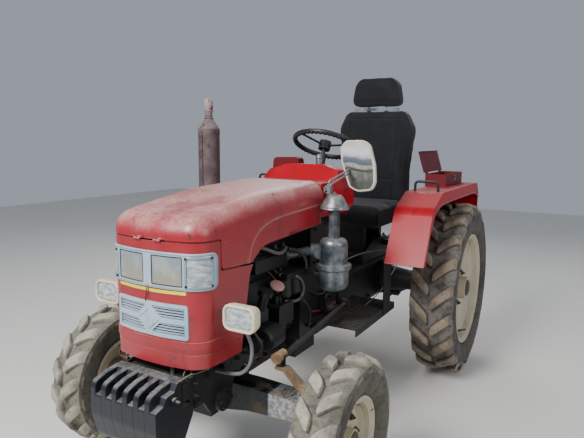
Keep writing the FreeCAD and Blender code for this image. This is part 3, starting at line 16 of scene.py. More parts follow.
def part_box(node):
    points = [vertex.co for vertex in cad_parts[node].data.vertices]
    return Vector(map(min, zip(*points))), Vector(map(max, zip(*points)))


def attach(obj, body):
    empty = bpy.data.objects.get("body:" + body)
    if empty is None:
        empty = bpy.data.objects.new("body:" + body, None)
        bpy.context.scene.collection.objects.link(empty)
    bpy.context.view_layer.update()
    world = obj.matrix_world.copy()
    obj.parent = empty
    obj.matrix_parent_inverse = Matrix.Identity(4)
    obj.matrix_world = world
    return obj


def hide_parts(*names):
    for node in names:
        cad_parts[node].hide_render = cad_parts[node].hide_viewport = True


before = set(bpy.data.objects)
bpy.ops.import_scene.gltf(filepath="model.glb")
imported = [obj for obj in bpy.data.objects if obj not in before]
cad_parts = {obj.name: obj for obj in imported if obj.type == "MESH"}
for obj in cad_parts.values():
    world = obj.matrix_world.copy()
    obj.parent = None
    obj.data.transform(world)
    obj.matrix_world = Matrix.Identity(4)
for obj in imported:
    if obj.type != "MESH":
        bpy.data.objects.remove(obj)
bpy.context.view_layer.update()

# %% [markdown]
# The drawing measures along the tractor from the rear axle, in millimetres. One function
# turns such a station into the frame's metres, so that sizes stay readable further down,
# and another turns it back.

# %% Stations to metres
REAR_AXLE_X = -719.0
SIDES = (("left", 1), ("right", -1))


def at(x, y, z):
    return Vector(((x + REAR_AXLE_X) / 1000, y / 1000, z / 1000))


def station(point):
    return point.x * 1000 - REAR_AXLE_X, point.y * 1000, point.z * 1000


def linked(name, data):
    """A new object in the scene for a mesh, a curve, a lamp or a camera."""
    made = bpy.data.objects.new(name, data)
    bpy.context.scene.collection.objects.link(made)
    return made


# %% [markdown]
# The photographer stood ahead and to the tractor's left, a little above its bonnet, and
# looked back and slightly down. The lens is close to a phone's main lens. The camera is
# turned a hair clockwise, as the photograph is.

# %% Place the camera
heading, dip, roll = (math.radians(degrees) for degrees in (29.811, 8.646, 0.536))
look = Vector((-math.cos(heading) * math.cos(dip), -math.sin(heading) * math.cos(dip), -math.sin(dip)))
level_right = Vector((-math.sin(heading), math.cos(heading), 0))
level_up = level_right.cross(look)
camera_right = level_right * math.cos(roll) + level_up * math.sin(roll)
camera_up = level_up * math.cos(roll) - level_right * math.sin(roll)
camera_data = bpy.data.cameras.new("portrait_camera")
camera_data.sensor_width = 36.0
camera_data.lens = 33.37
camera_data.shift_y = 0.005
camera = linked("portrait_camera", camera_data)
place = Matrix((camera_right, camera_up, -look)).transposed().to_4x4()
place.translation = at(3262, 1313, 1376)
camera.matrix_world = place
bpy.context.scene.camera = camera

# %% [markdown]
# A material is a small tree of nodes. A few helpers are enough for all of them: one turns a
# colour given in sRGB into the linear values that Blender computes with, and one
# adds a node with its settings and links in a single line.

# %% Helpers for materials


def linear(hex_code):
    """sRGB hex such as 'A8262E' to a linear colour with alpha 1."""
    channels = [int(hex_code[i:i + 2], 16) / 255 for i in (0, 2, 4)]
    return [c / 12.92 if c <= 0.04045 else ((c + 0.055) / 1.055) ** 2.4 for c in channels] + [1.0]


def feed(tree, node, inputs):
    """Sets inputs, by socket name or number, to values or to other nodes' sockets."""
    for key, value in inputs.items():
        if isinstance(value, bpy.types.NodeSocket):
            tree.links.new(value, node.inputs[key])
        else:
            node.inputs[key].default_value = value


def add(tree, kind, inputs=None, **settings):
    """Adds a node with its settings, and feeds it."""
    node = tree.nodes.new(kind)
    for key, value in settings.items():
        setattr(node, key, value)
    feed(tree, node, inputs or {})
    return node


def blank_material(name):
    """An empty material: its tree, its shader and the Object coordinates of the piece."""
    made = bpy.data.materials.new(name)
    made.use_nodes = True
    tree = made.node_tree
    tree.nodes.clear()
    shader = tree.nodes.new("ShaderNodeBsdfPrincipled")
    output = tree.nodes.new("ShaderNodeOutputMaterial")
    tree.links.new(shader.outputs[0], output.inputs[0])
    return made, tree, shader, tree.nodes.new("ShaderNodeTexCoord")


def speckle(tree, spots, size_mm, detail=3.0, rough=0.55, stretch=None):
    """Noise whose patches are about size_mm across, as a 0 to 1 value."""
    where = spots.outputs["Object"]
    if stretch:
        where = add(tree, "ShaderNodeMapping", {"Vector": where, "Scale": stretch}).outputs[0]
    return add(tree, "ShaderNodeTexNoise", {
        "Vector": where, "Scale": 1000.0 / size_mm, "Detail": detail, "Roughness": rough}).outputs[0]


def stripes(tree, spots, scale, direction, distortion=0.0):
    """Sine waves across Y or Z, as a 0 to 1 value."""
    return add(tree, "ShaderNodeTexWave", {
        "Vector": spots.outputs["Object"], "Scale": scale, "Distortion": distortion},
        bands_direction=direction).outputs[1]


def between(tree, value, low, high, floor=0.0, ceiling=1.0):
    """Value stretched so that low gives floor and high gives ceiling, smoothly."""
    return add(tree, "ShaderNodeMapRange", {
        "Value": value, "From Min": low, "From Max": high, "To Min": floor, "To Max": ceiling},
        interpolation_type="SMOOTHSTEP").outputs[0]


def blend_colours(tree, share, first, second):
    """Mixes two colours, each a hex string or a socket."""
    values = {"Factor": share}
    for number, colour in ((6, first), (7, second)):
        values[number] = linear(colour) if isinstance(colour, str) else colour
    return add(tree, "ShaderNodeMix", values, data_type="RGBA").outputs[2]


def times(tree, product, *factors):
    for factor in factors:
        product = add(tree, "ShaderNodeMath", {0: product, 1: factor}, operation="MULTIPLY").outputs[0]
    return product


def part_of(tree, spots, axis, kind="Object"):
    """One part, 0 to 2, of a point's place in metres or of its normal."""
    return add(tree, "ShaderNodeSeparateXYZ", {0: spots.outputs[kind]}).outputs[axis]


def off_middle(tree, spots):
    """How far a point is from the plane down the tractor's middle, in metres."""
    return add(tree, "ShaderNodeMath", {0: part_of(tree, spots, 1)}, operation="ABSOLUTE").outputs[0]


def painted_by(tree, name):
    """The value that a mesh's attribute holds at a point."""
    return add(tree, "ShaderNodeAttribute", attribute_name=name).outputs["Fac"]


def relief(tree, height, strength, distance):
    return add(tree, "ShaderNodeBump", {
        "Height": height, "Strength": strength, "Distance": distance}).outputs[0]


# %% [markdown]
# Almost everything on this tractor is enamel or bare metal under years of field dust. Dust
# settles on faces that look up, lies thicker in patches, and is rubbed off where hands and
# rain reach. One recipe holds that: a paint that has faded unevenly, grime in vertical
# runs, dust by the height part of the surface normal, and rust that breaks through in
# small spots. The real grain of dust is far below a pixel, so it is drawn at 3 mm.

# %% Weathered surfaces
GRAIN_MM = 3.0
MOTTLE_MM = 16.0
RUST_MM = 45.0
RUN_MM = 60.0


def weathered(name, paint, faded, dust, dust_share=0.6, rust_share=0.0, rough=0.5, metal=0.0,
              patch_mm=220.0, rust="4A2A1C", grime="2A2522", grime_share=0.25, bump=0.15, coat=0.0,
              crease_wear_and_highlight_on=False, dust_from=0.0, high=None, shine=0.5):
    """Worn paint or metal. dust_from is how far a face looks up before dust holds on it, and
    high is two heights in metres, between which the paint turns into a third value."""
    made, tree, shader, spots = blank_material(name)
    grain = speckle(tree, spots, GRAIN_MM, 2.0)
    runs = speckle(tree, spots, RUN_MM, 5.0, 0.6, stretch=(1.0, 1.0, 0.22))
    colour = blend_colours(tree, between(tree, speckle(tree, spots, patch_mm, 4.0), 0.35, 0.68), paint, faded)
    colour = blend_colours(tree, between(tree, runs, 0.52, 0.75, 0.0, grime_share), colour, grime)
    upward = between(tree, part_of(tree, spots, 2, "Normal"), dust_from, 0.95, 0.015 if dust_from else 0.05)
    drift = between(tree, speckle(tree, spots, patch_mm * 0.45, 5.0, 0.62), 0.30, 0.62, 0.35)
    grainy = between(tree, grain, 0.3, 0.7, 0.75, 1.15)
    mottled = between(tree, speckle(tree, spots, MOTTLE_MM, 8.0, 0.78), 0.38, 0.62, 0.6, 1.2)
    settled = times(tree, upward, drift, dust_share, grainy, mottled)
    colour = blend_colours(tree, settled, colour, dust)
    # A pale line where the mesh's attribute says so, along the bonnet's crease: partly worn paint, partly a
    # painted highlight.
    if crease_wear_and_highlight_on:
        wear_and_highlight_share = times(tree, painted_by(tree, "crease_wear_and_highlight"), between(tree, drift, 0.3, 0.9, 0.45))
        colour = blend_colours(tree, wear_and_highlight_share, colour, dust)
    if high:
        risen = between(tree, part_of(tree, spots, 2), high[0], high[1], 0.0, 0.8)
        colour = blend_colours(tree, risen, colour, high[2])
    if rust_share:
        spots_of_rust = between(tree, speckle(tree, spots, RUST_MM, 8.0, 0.7), 0.62 - rust_share * 0.25,
                                0.70 - rust_share * 0.2)
        colour = blend_colours(tree, spots_of_rust, colour, rust)
    feed(tree, shader, {
        "Base Color": colour, "Metallic": metal, "Specular IOR Level": shine, "Coat Weight": coat,
        "Coat Roughness": 0.25, "Normal": relief(tree, grain, bump, 0.0006),
        "Roughness": between(tree, settled, 0.0, 0.8, rough, min(rough + 0.4, 0.95))})
    return made


# %% [markdown]
# The body is alkyd enamel sprayed on pressed sheet. Years of sun turned its top chalky and
# pinkish, while its upright sides kept more of the red. A thin coat gives the soft shine.
# The fenders and the dash take a copy with less dust and a brighter red, which is partly
# painted sunlight. The toolbox, the instrument hood and the seam lips take a darker copy,
# which is painted shade.

# %% Paints and metals
red_enamel = weathered("enamel_red_sun_faded", "860517", "94101F", "B48C86", 0.85, 0.02, 0.34,
                       patch_mm=300.0, grime="3A0914", grime_share=0.5, bump=0.10, coat=0.3,
                       crease_wear_and_highlight_on=True)
# A brighter red with less dust for the fenders and the dash: partly the paint's own colour, partly painted
# sunlight.
red_enamel_less_dust_and_sun = weathered("enamel_red_less_dust_painted_sun", "9C0214", "A80A1E", "8A5F5C", 0.45, 0.01, 0.36,
                            patch_mm=260.0, grime="400812", grime_share=0.4, bump=0.06, dust_from=0.8,
                            shine=0.22)
# A darker copy of the red for parts that lie in shade: painted shade.
red_enamel_shaded = weathered("enamel_red_painted_shade", "5C0410", "6A0C18", "6F4E4C", 0.5, 0.02, 0.5,
                              patch_mm=200.0, grime="2A060C", grime_share=0.4, dust_from=0.8, shine=0.3)
black_enamel = weathered("enamel_black_chassis", "0A0C10", "13161A", "5E574C", 0.45, 0.04, 0.55)
engine_enamel = weathered("enamel_engine_oily", "06080A", "0E1114", "35322D", 0.4, 0.03, 0.5)
weight_enamel = weathered("cast_iron_ballast", "060C15", "0C1522", "B4B2AA", 0.36, 0.0, 0.4, bump=0.25,
                          patch_mm=160.0, dust_from=0.55)
hitch_enamel = weathered("enamel_black_hitch", "0F1012", "1B1A19", "5B5347", 0.55, 0.12, 0.5)
burnt_steel = weathered("steel_burnt_silencer", "3E3032", "57484A", "A08C88", 0.5, 0.22, 0.7,
                        rust="2E1C19", patch_mm=50.0, bump=0.6, high=(1.46, 1.56, "A68F8C"))
zinc_steel = weathered("steel_zinc_plated_dull", "3E444B", "8A9096", "A19C90", 0.75, 0.0, 0.3, metal=0.6,
                       patch_mm=70.0, grime="15171A", grime_share=0.75)
rim_enamel = weathered("enamel_cream_rim", "B7AC97", "A79B84", "8C7F6B", 0.45, 0.03, 0.5,
                       grime="6A5F4E", grime_share=0.6)
silver_enamel = weathered("enamel_pale_blue_silver", "9CB5C8", "AFC0CC", "B4B3AB", 0.35, 0.0, 0.34,
                          metal=0.25, grime="6C7C86", grime_share=0.4)
cream_abs = weathered("abs_cream_aged", "D9CFB8", "C6B898", "A99B7C", 0.3, 0.0, 0.35, grime="8A7C60",
                      grime_share=0.5)
grey_tube = weathered("steel_lamp_stalk_grey", "6E7173", "85878A", "8A8478", 0.4, 0.03, 0.4, metal=0.4)
black_abs = weathered("abs_black_moulded", "0D0E10", "16181A", "4C4943", 0.35, 0.0, 0.45)
bright_steel = weathered("steel_greased_shaft", "77797A", "6A6C6D", "6B6254", 0.3, 0.05, 0.35, metal=0.9)
rusty_steel = weathered("steel_rusted_plate", "573625", "452C1F", "7D6A58", 0.5, 0.5, 0.85, bump=0.8)
radiator_black = weathered("enamel_matt_radiator", "0C0E10", "14171A", "46423B", 0.4, 0.0, 0.7)
red_lens_plastic = weathered("acrylic_red_lamp", "7A0B10", "8A1016", "8D6A5E", 0.35, 0.0, 0.2, coat=0.6)

# %% [markdown]
# The front axle's beam is painted dark, but its outer ends are separate castings in silver
# paint, now scuffed and dusty. The place across the tractor decides between the two.

# %% Axle paint


def axle_paint(name):
    made, tree, shader, spots = blank_material(name)
    end_share = between(tree, off_middle(tree, spots), 0.288, 0.294)
    mottle = speckle(tree, spots, 14.0, 6.0, 0.7)
    clay = between(tree, speckle(tree, spots, 70.0, 5.0), 0.48, 0.64)
    silver = blend_colours(tree, between(tree, mottle, 0.4, 0.62), "6A6D70", "A3A4A2")
    dark = blend_colours(tree, between(tree, mottle, 0.4, 0.65), "0E1518", "1E2B2D")
    colour = blend_colours(tree, end_share, dark, silver)
    caked = times(tree, clay, between(tree, end_share, 0.0, 1.0, 0.25, 0.6))
    feed(tree, shader, {
        "Base Color": blend_colours(tree, caked, colour, "8C7A64"), "Metallic": 0.35,
        "Roughness": between(tree, clay, 0.0, 1.0, 0.42, 0.85), "Normal": relief(tree, mottle, 0.5, 0.0015)})
    return made


axle_enamel = axle_paint("enamel_axle_dark_and_silver")
arm_rust = weathered("steel_forged_clay", "7C6149", "96805F", "BBA98A", 0.9, 0.15, 0.85, bump=0.7,
                     patch_mm=60.0)

# %% [markdown]
# Tyre rubber is black when new. Here dried mud lies on the carcass between the lugs, and
# the lugs' faces carry pale clay. The clay sticks by patches about as wide as a lug. On the
# rear carcass the pale between the lugs is partly that mud and partly painted sunlight.

# %% Tyre rubber


def tyre_rubber_material(name, clay, damp_clay, clay_share, rise_share):
    made, tree, shader, spots = blank_material(name)
    broad = speckle(tree, spots, 150.0, 6.0, 0.65)
    lumps = speckle(tree, spots, 22.0, 5.0, 0.6)
    grain = speckle(tree, spots, 4.0, 2.0)
    rubber = blend_colours(tree, between(tree, grain, 0.3, 0.7), "121211", "1F1E1B")
    caked = times(tree, between(tree, broad, 0.34, 0.56, 0.45), between(tree, lumps, 0.34, 0.58, 0.5),
                  between(tree, painted_by(tree, "rise"), 0.15, 0.95, 1.0 - rise_share), clay_share)
    clayey = blend_colours(tree, between(tree, lumps, 0.35, 0.65), clay, damp_clay)
    feed(tree, shader, {"Base Color": blend_colours(tree, caked, rubber, clayey), "Roughness": 0.9,
                        "Normal": relief(tree, lumps, 0.5, 0.003)})
    return made


# The rear carcass's pale between the lugs is partly dried mud and partly painted sunlight.
rear_carcass_mud_and_sun = tyre_rubber_material("rubber_rear_tyre_mud_and_painted_sun", "98918A", "5E554B", 0.9, 0.5)
rear_lug_rubber = tyre_rubber_material("rubber_rear_lug_clay", "AC9B88", "7A6B5B", 1.0, 0.85)
front_carcass_rubber = tyre_rubber_material("rubber_front_tyre_dusty", "979384", "625D50", 0.92, 0.45)
front_lug_rubber = tyre_rubber_material("rubber_front_lug_clay", "C0BBAC", "979080", 1.0, 0.45)

# %% [markdown]
# The seat is covered in a black woven cloth, dusty in its weave. Its threads are about
# 0.8 mm apart, finer than a pixel, so the weave is drawn at 3 mm. A little sheen gives the
# soft edge that cloth shows against the light.

# %% Seat cloth
WEAVE_MM = 3.0
WAVES_PER_SCALE = 20.0


def woven_cloth(name, warp, weft):
    made, tree, shader, spots = blank_material(name)
    scale = 1000.0 / WEAVE_MM / WAVES_PER_SCALE
    weave = times(tree, stripes(tree, spots, scale, "Y", 1.0), stripes(tree, spots, scale, "Z", 1.0))
    colour = blend_colours(tree, weave, warp, weft)
    worn = between(tree, speckle(tree, spots, 110.0, 5.0), 0.5, 0.75, 0.0, 0.25)
    feed(tree, shader, {"Base Color": blend_colours(tree, worn, colour, "2C2D30"), "Roughness": 0.92,
                        "Sheen Weight": 0.12, "Sheen Roughness": 0.5,
                        "Normal": relief(tree, weave, 0.35, 0.0008)})
    return made


seat_cloth = woven_cloth("cloth_woven_black", "06080D", "0D1017")

# %% [markdown]
# The head lamps are moulded clear plastic with upright flutes 6 mm apart, yellowed at the
# foot and milky with dust. From corner_from outwards a lens is cut like silvery prisms. The
# mirror's glass has lost half of its silvering, in dark blotches that grow towards the
# bottom, and shows a reflection of its surroundings painted in bands by height.

# %% Lamp lenses and mirror
FLUTE_MM = 6.0


def fluted_lens(name, upper, lower, z_low, z_high, corner_from):
    made, tree, shader, spots = blank_material(name)
    colour = blend_colours(tree, between(tree, part_of(tree, spots, 2), z_low, z_high), lower, upper)
    cloud = between(tree, speckle(tree, spots, 60.0, 4.0), 0.42, 0.66, 0.0, 0.6)
    colour = blend_colours(tree, cloud, colour, "B9BDB4")
    streaks = speckle(tree, spots, 30.0, 5.0, 0.6, stretch=(1.0, 1.0, 2.6))
    silvery = blend_colours(tree, between(tree, streaks, 0.36, 0.64), "98A1A8", "D9DDE0")
    outside = between(tree, off_middle(tree, spots), corner_from, corner_from + 0.002)
    flutes = stripes(tree, spots, 1000.0 / FLUTE_MM / WAVES_PER_SCALE, "Y")
    feed(tree, shader, {
        "Base Color": blend_colours(tree, outside, colour, silvery), "Roughness": 0.22,
        "Transmission Weight": 0.35, "IOR": 1.49, "Coat Weight": 0.5, "Coat Roughness": 0.12,
        "Normal": relief(tree, flutes, 0.5, 0.001)})
    return made


head_lens = fluted_lens("acrylic_lamp_lens", "8F9CA2", "A3A189", 0.88, 0.99, 0.149)
work_lens = fluted_lens("glass_work_lamp", "E4E8E6", "F3F0DC", 0.74, 0.83, 0.2)


def mirror_with_painted_reflection(name, z_low, z_high):
    made, tree, shader, spots = blank_material(name)
    blotches = between(tree, speckle(tree, spots, 26.0, 6.0, 0.65), 0.42, 0.62)
    height = part_of(tree, spots, 2)
    bent = add(tree, "ShaderNodeMath", {0: speckle(tree, spots, 120.0, 2.0), 1: 0.05, 2: height},
               operation="MULTIPLY_ADD").outputs[0]
    # Colour bands by height, made wavy by noise: a painted reflection of the surroundings.
    bands = add(tree, "ShaderNodeValToRGB", {0: between(tree, bent, z_low, z_high)})
    stops = bands.color_ramp.elements
    stops[0].position, stops[0].color = 0.0, linear("5C6058")
    stops[1].position, stops[1].color = 1.0, linear("C8BFC0")
    for where, hex_code in ((0.3, "7C8079"), (0.38, "30343A"), (0.45, "B4A98C"), (0.52, "A9B0B6"),
                            (0.58, "59626E"), (0.72, "6E7884"), (0.8, "D6CFD2"), (0.9, "E4DEDF")):
        stops.new(where).color = linear(hex_code)
    lower = times(tree, blotches, between(tree, height, z_low, z_high, 0.75, 0.1))
    feed(tree, shader, {"Base Color": blend_colours(tree, lower, bands.outputs[0], "3F4240"),
                        "Roughness": between(tree, blotches, 0.0, 1.0, 0.12, 0.45), "Metallic": 0.25})
    return made


mirror_painted_reflection = mirror_with_painted_reflection("glass_mirror_reflection_painted", 1.16, 1.40)

# %% [markdown]
# Each CAD node keeps its shape and gets the material of the real part.

# %% Dress the CAD nodes
finish_of = {
    red_enamel: ["bonnet", "nose_cowl"],
    # The fenders and the dash take the red that is partly painted sunlight.
    red_enamel_less_dust_and_sun: ["dash_cowl", "fenders"],
    # The toolbox and its lid take the red with painted shade.
    red_enamel_shaded: ["toolbox", "toolbox_lid"],
    black_enamel: ["front_frame", "tie_rod", "drag_link", "drop_arm", "steering_gear", "transmission",
                   "rear_axle", "lift_housing", "lift_arms", "hitch_brackets", "grab_handles",
                   "foot_platforms", "controls", "seat_frame", "fuel_tank", "front_drive_shaft"],
    engine_enamel: ["engine_block", "engine_fittings", "cooling_fan"],
    axle_enamel: ["front_axle"],
    arm_rust: ["knuckle_left", "knuckle_right"],
    weight_enamel: ["front_weights"],
    hitch_enamel: ["lower_links", "lift_rods", "top_link"],
    burnt_steel: ["muffler"],
    zinc_steel: ["air_cleaner"],
    rim_enamel: ["rear_rim_left", "rear_rim_right", "front_rim_left", "front_rim_right"],
    silver_enamel: ["lamp_bezel", "grille_panel"],
    cream_abs: ["work_lamps"],
    black_abs: ["steering_wheel", "battery"],
    grey_tube: ["mirror"],
    bright_steel: ["pto_shaft"],
    radiator_black: ["radiator"],
    red_lens_plastic: ["rear_lamps"],
    rear_carcass_mud_and_sun: ["rear_tyre_left", "rear_tyre_right"],
    front_carcass_rubber: ["front_tyre_left", "front_tyre_right"],
    seat_cloth: ["seat_cushion", "seat_back", "headrest"],
    head_lens: ["lamp_lenses"],
}
for material, names in finish_of.items():
    for name in names:
        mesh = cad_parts[name].data
        mesh.materials.clear()
        mesh.materials.append(material)
plain = sorted(set(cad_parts) - {n for names in finish_of.values() for n in names})
print("nodes without a finish:", plain)

# %% [markdown]
# Most pieces are made point by point. A few helpers carry them: one bridges rings of points
# into a closed skin, one turns a profile about an axle, one cuts a plate from a flat outline,
# and one bends hoses along smooth splines. piece() links a finished shape as a piece that
# rides on its body. All of them take the drawing's millimetres.

# %% Helpers for shapes
UP = (0, 0, 1)


def skin(bm, rings, cap=True):
    """Bridges rings of the same number of points with quads, and closes both ends."""
    rows = [[bm.verts.new(point) for point in ring] for ring in rings]
    count = len(rows[0])
    for near, far in zip(rows, rows[1:]):
        for i in range(count):
            j = (i + 1) % count
            bm.faces.new((near[i], near[j], far[j], far[i]))
    if cap:
        bm.faces.new(rows[0][::-1])
        bm.faces.new(rows[-1])


def turned(bm, profile, centre, axle=UP, steps=48, closed=False):
    """Skin of (radius, distance along the axle) points turned about an axle through centre."""
    axle = Vector(axle).normalized()
    side = axle.orthogonal().normalized()
    other = axle.cross(side)
    angles = [2 * math.pi * k / steps for k in range(steps)]
    rings = [[at(*centre) + (axle * along + (side * math.cos(a) + other * math.sin(a)) * radius) / 1000
              for a in angles] for radius, along in profile]
    skin(bm, rings + rings[:1] if closed else rings, cap=not closed)


def outline(corners, steps=6):
    """Flat outline from corners (a, b) or (a, b, radius), its corners rounded by arcs."""
    made = []
    for i, corner in enumerate(corners):
        here = Vector(corner[:2])
        if len(corner) == 2:
            made.append(tuple(here))
            continue
        back = Vector(corners[i - 1][:2]) - here
        ahead = Vector(corners[(i + 1) % len(corners)][:2]) - here
        half = back.angle(ahead) / 2
        reach = min(corner[2] / math.tan(half), back.length * 0.49, ahead.length * 0.49)
        radius = reach * math.tan(half)
        centre = here + (back.normalized() + ahead.normalized()).normalized() * (radius / math.sin(half))
        first = here + back.normalized() * reach - centre
        sweep = first.angle_signed(here + ahead.normalized() * reach - centre)
        for k in range(steps + 1):
            made.append(tuple(centre + Matrix.Rotation(-sweep * k / steps, 2) @ first))
    return made


def rounded_box(low_a, high_a, low_b, high_b, radius):
    low_a, high_a = sorted((low_a, high_a))
    return outline([(low_a, low_b, radius), (high_a, low_b, radius), (high_a, high_b, radius),
                    (low_a, high_b, radius)])


def shrunk(loop, by):
    """The same outline moved in by a distance, whichever way it runs."""
    count = len(loop)
    area = sum(loop[i - 1][0] * loop[i][1] - loop[i][0] * loop[i - 1][1] for i in range(count))
    turn = 1 if area > 0 else -1
    moved = []
    for i in range(count):
        before = Vector(loop[i]) - Vector(loop[i - 1])
        after = Vector(loop[(i + 1) % count]) - Vector(loop[i])
        normals = [Vector((-d.y, d.x)).normalized() for d in (before, after) if d.length > 1e-6]
        way = sum(normals, Vector((0, 0))).normalized()
        moved.append(tuple(Vector(loop[i]) + way * by * turn))
    return moved


def slab(bm, loop, low, high, facing, bevel=0.0):
    """Plate between two heights along an axis, from a flat outline, with a bevel on both faces."""
    def ring(points, height):
        return [at(*{"x": (height, a, b), "y": (a, height, b), "z": (a, b, height)}[facing])
                for a, b in points]
    small = shrunk(loop, bevel) if bevel else loop
    rings = [ring(small, low), ring(small, high)]
    if bevel:
        rings[1:1] = [ring(loop, low + bevel), ring(loop, high - bevel)]
    skin(bm, rings)


def shaped(bm, name, sharp=35.0):
    """Finishes a bmesh: doubles merged, faces outward, edges sharper than the angle kept."""
    bmesh.ops.remove_doubles(bm, verts=bm.verts, dist=1e-6)
    bmesh.ops.recalc_face_normals(bm, faces=bm.faces)
    mesh = bpy.data.meshes.new(name)
    bm.to_mesh(mesh)
    bm.free()
    mesh.shade_smooth()
    mesh.set_sharp_from_angle(angle=math.radians(sharp))
    return mesh


def dress(name, mesh, body, finish=None, stands_for=()):
    """Links a finished mesh as a piece that rides on a body."""
    if finish:
        mesh.materials.append(finish)
    made = linked(name, mesh)
    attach(made, body)
    if stands_for:
        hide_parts(*stands_for)
    return made


def piece(name, bm, finish, body="root", sharp=35.0, stands_for=()):
    """Finishes a bmesh and links it as a piece."""
    return dress(name, shaped(bm, name, sharp), body, finish, stands_for)


def lathed(name, turns, finish, body="root", sharp=35.0):
    """A piece of turned shapes; each is a profile, a centre, an axle and a number of steps."""
    bm = bmesh.new()
    for turn in turns:
        turned(bm, *turn)
    return piece(name, bm, finish, body, sharp)


def baked(source):
    """The object with its modifiers applied, as a plain mesh; the source is removed."""
    depsgraph = bpy.context.evaluated_depsgraph_get()
    mesh = bpy.data.meshes.new_from_object(source.evaluated_get(depsgraph))
    bpy.data.objects.remove(source)
    return mesh


def hoses(name, rows, finish):
    """Hoses and wires as one fixed piece: each row is a radius and the points it is drawn towards."""
    curve = bpy.data.curves.new(name, "CURVE")
    curve.dimensions = "3D"
    curve.bevel_depth = 0.001
    curve.bevel_resolution = 3
    curve.use_fill_caps = True
    curve.resolution_u = 8
    for radius, points in rows:
        spline = curve.splines.new("NURBS")
        spline.points.add(len(points) - 1)
        for knot, point in zip(spline.points, points):
            knot.co = (*at(*point), 1.0)
            knot.radius = radius
        spline.order_u = 3
        spline.use_endpoint_u = True
    mesh = baked(linked(name + "_path", curve))
    mesh.shade_smooth()
    return dress(name, mesh, "root", finish)


def both_sides(radius, points):
    """Two rows for hoses(): the points given for the left side, and their mirror image."""
    return [(radius, [(x, side * y, z) for x, y, z in points]) for word, side in SIDES]


def give_values(mesh, name, values):
    """Adds an attribute that holds one value for each point."""
    mesh.attributes.new(name, "FLOAT", "POINT").data.foreach_set("value", values)


# %% [markdown]
# Two small Geometry Nodes trees repeat things. The first copies a shape round an axle or
# along a row: one lug becomes a tread, one fin a radiator. The second puts a hexagon bolt
# with its washer on every point of a mesh, facing the way that the point's attribute says.
# Both end in Realize Instances and Set Material, and are baked to a plain mesh at once.

# %% Trees that repeat a shape


def new_tree(name, sockets):
    tree = bpy.data.node_groups.new(name, "GeometryNodeTree")
    tree.interface.new_socket("Shape", in_out="INPUT", socket_type="NodeSocketGeometry")
    for title, kind in sockets:
        tree.interface.new_socket(title, in_out="INPUT", socket_type="NodeSocket" + kind)
    tree.interface.new_socket("Shape", in_out="OUTPUT", socket_type="NodeSocketGeometry")
    return tree, tree.nodes.new("NodeGroupInput").outputs, tree.nodes.new("NodeGroupOutput")


def close_tree(tree, instances, finish, output):
    whole = add(tree, "GeometryNodeRealizeInstances", {0: instances})
    painted = add(tree, "GeometryNodeSetMaterial", {0: whole.outputs[0], "Material": finish})
    tree.links.new(painted.outputs[0], output.inputs[0])


copies_tree, given, result = new_tree("copies_round_or_along", [
    ("Copies", "Int"), ("Centre", "Vector"), ("Axle", "Vector"), ("First", "Float"), ("Turn", "Float"),
    ("Shift", "Vector"), ("Finish", "Material")])
number = add(copies_tree, "GeometryNodeInputIndex").outputs[0]
spot = add(copies_tree, "ShaderNodeVectorMath", {0: given["Shift"], 1: number, 2: given["Centre"]},
           operation="MULTIPLY_ADD").outputs[0]
angle = add(copies_tree, "ShaderNodeMath", {0: given["Turn"], 1: number, 2: given["First"]},
            operation="MULTIPLY_ADD").outputs[0]
spots = add(copies_tree, "GeometryNodePoints", {"Count": given["Copies"], "Position": spot}).outputs[0]
facing = add(copies_tree, "FunctionNodeAxisAngleToRotation", {"Axis": given["Axle"], "Angle": angle}).outputs[0]
placed = add(copies_tree, "GeometryNodeInstanceOnPoints",
             {"Points": spots, "Instance": given["Shape"], "Rotation": facing}).outputs[0]
close_tree(copies_tree, placed, given["Finish"], result)

bolts_tree, given, result = new_tree("bolts_on_points", [
    ("Head height", "Float"), ("Washer radius", "Float"), ("Finish", "Material")])
way, size = (add(bolts_tree, "GeometryNodeInputNamedAttribute", {"Name": name}, data_type=kind).outputs[0]
             for name, kind in (("facing", "FLOAT_VECTOR"), ("size", "FLOAT")))
upright = add(bolts_tree, "FunctionNodeAlignRotationToVector", {"Vector": way}, axis="Z").outputs[0]
both = add(bolts_tree, "GeometryNodeJoinGeometry")
# Head, washer and stud of a bolt that is 1 wide: sides, radius, depth and height of the middle
for sides, radius, depth, rise in (
        (6, 0.58, given["Head height"], 0.45), (14, given["Washer radius"], 0.3, 0.1), (10, 0.3, 1.3, 0.55)):
    part = add(bolts_tree, "GeometryNodeMeshCylinder", {"Vertices": sides, "Radius": radius, "Depth": depth})
    lifted = add(bolts_tree, "GeometryNodeTransform", {
        "Geometry": part.outputs[0], "Translation": (0, 0, rise)})
    bolts_tree.links.new(lifted.outputs[0], both.inputs[0])
placed = add(bolts_tree, "GeometryNodeInstanceOnPoints",
             {"Points": given["Shape"], "Instance": both.outputs[0], "Rotation": upright, "Scale": size})
close_tree(bolts_tree, placed.outputs[0], given["Finish"], result)


def grown(mesh, tree, values):
    """Runs a tree on a mesh with its inputs set by identifier, and bakes the result."""
    source = linked("seed_shape", mesh)
    modifier = source.modifiers.new("repeat", "NODES")
    modifier.node_group = tree
    for item in tree.interface.items_tree:
        if item.in_out == "INPUT" and item.name in values:
            modifier[item.identifier] = values[item.name]
    made = baked(source)
    made.shade_smooth()
    made.set_sharp_from_angle(angle=math.radians(35))
    return made


def copied(mesh, finish, copies, centre, axle=(0.0, 0.0, 1.0), first=0.0, turn=0.0, shift=(0.0, 0.0, 0.0)):
    """Copies of a shape round an axle through centre, or along a row, as one mesh."""
    return grown(mesh, copies_tree, {
        "Copies": copies, "Centre": at(*centre), "Axle": axle, "First": first, "Turn": turn,
        "Shift": shift, "Finish": finish})


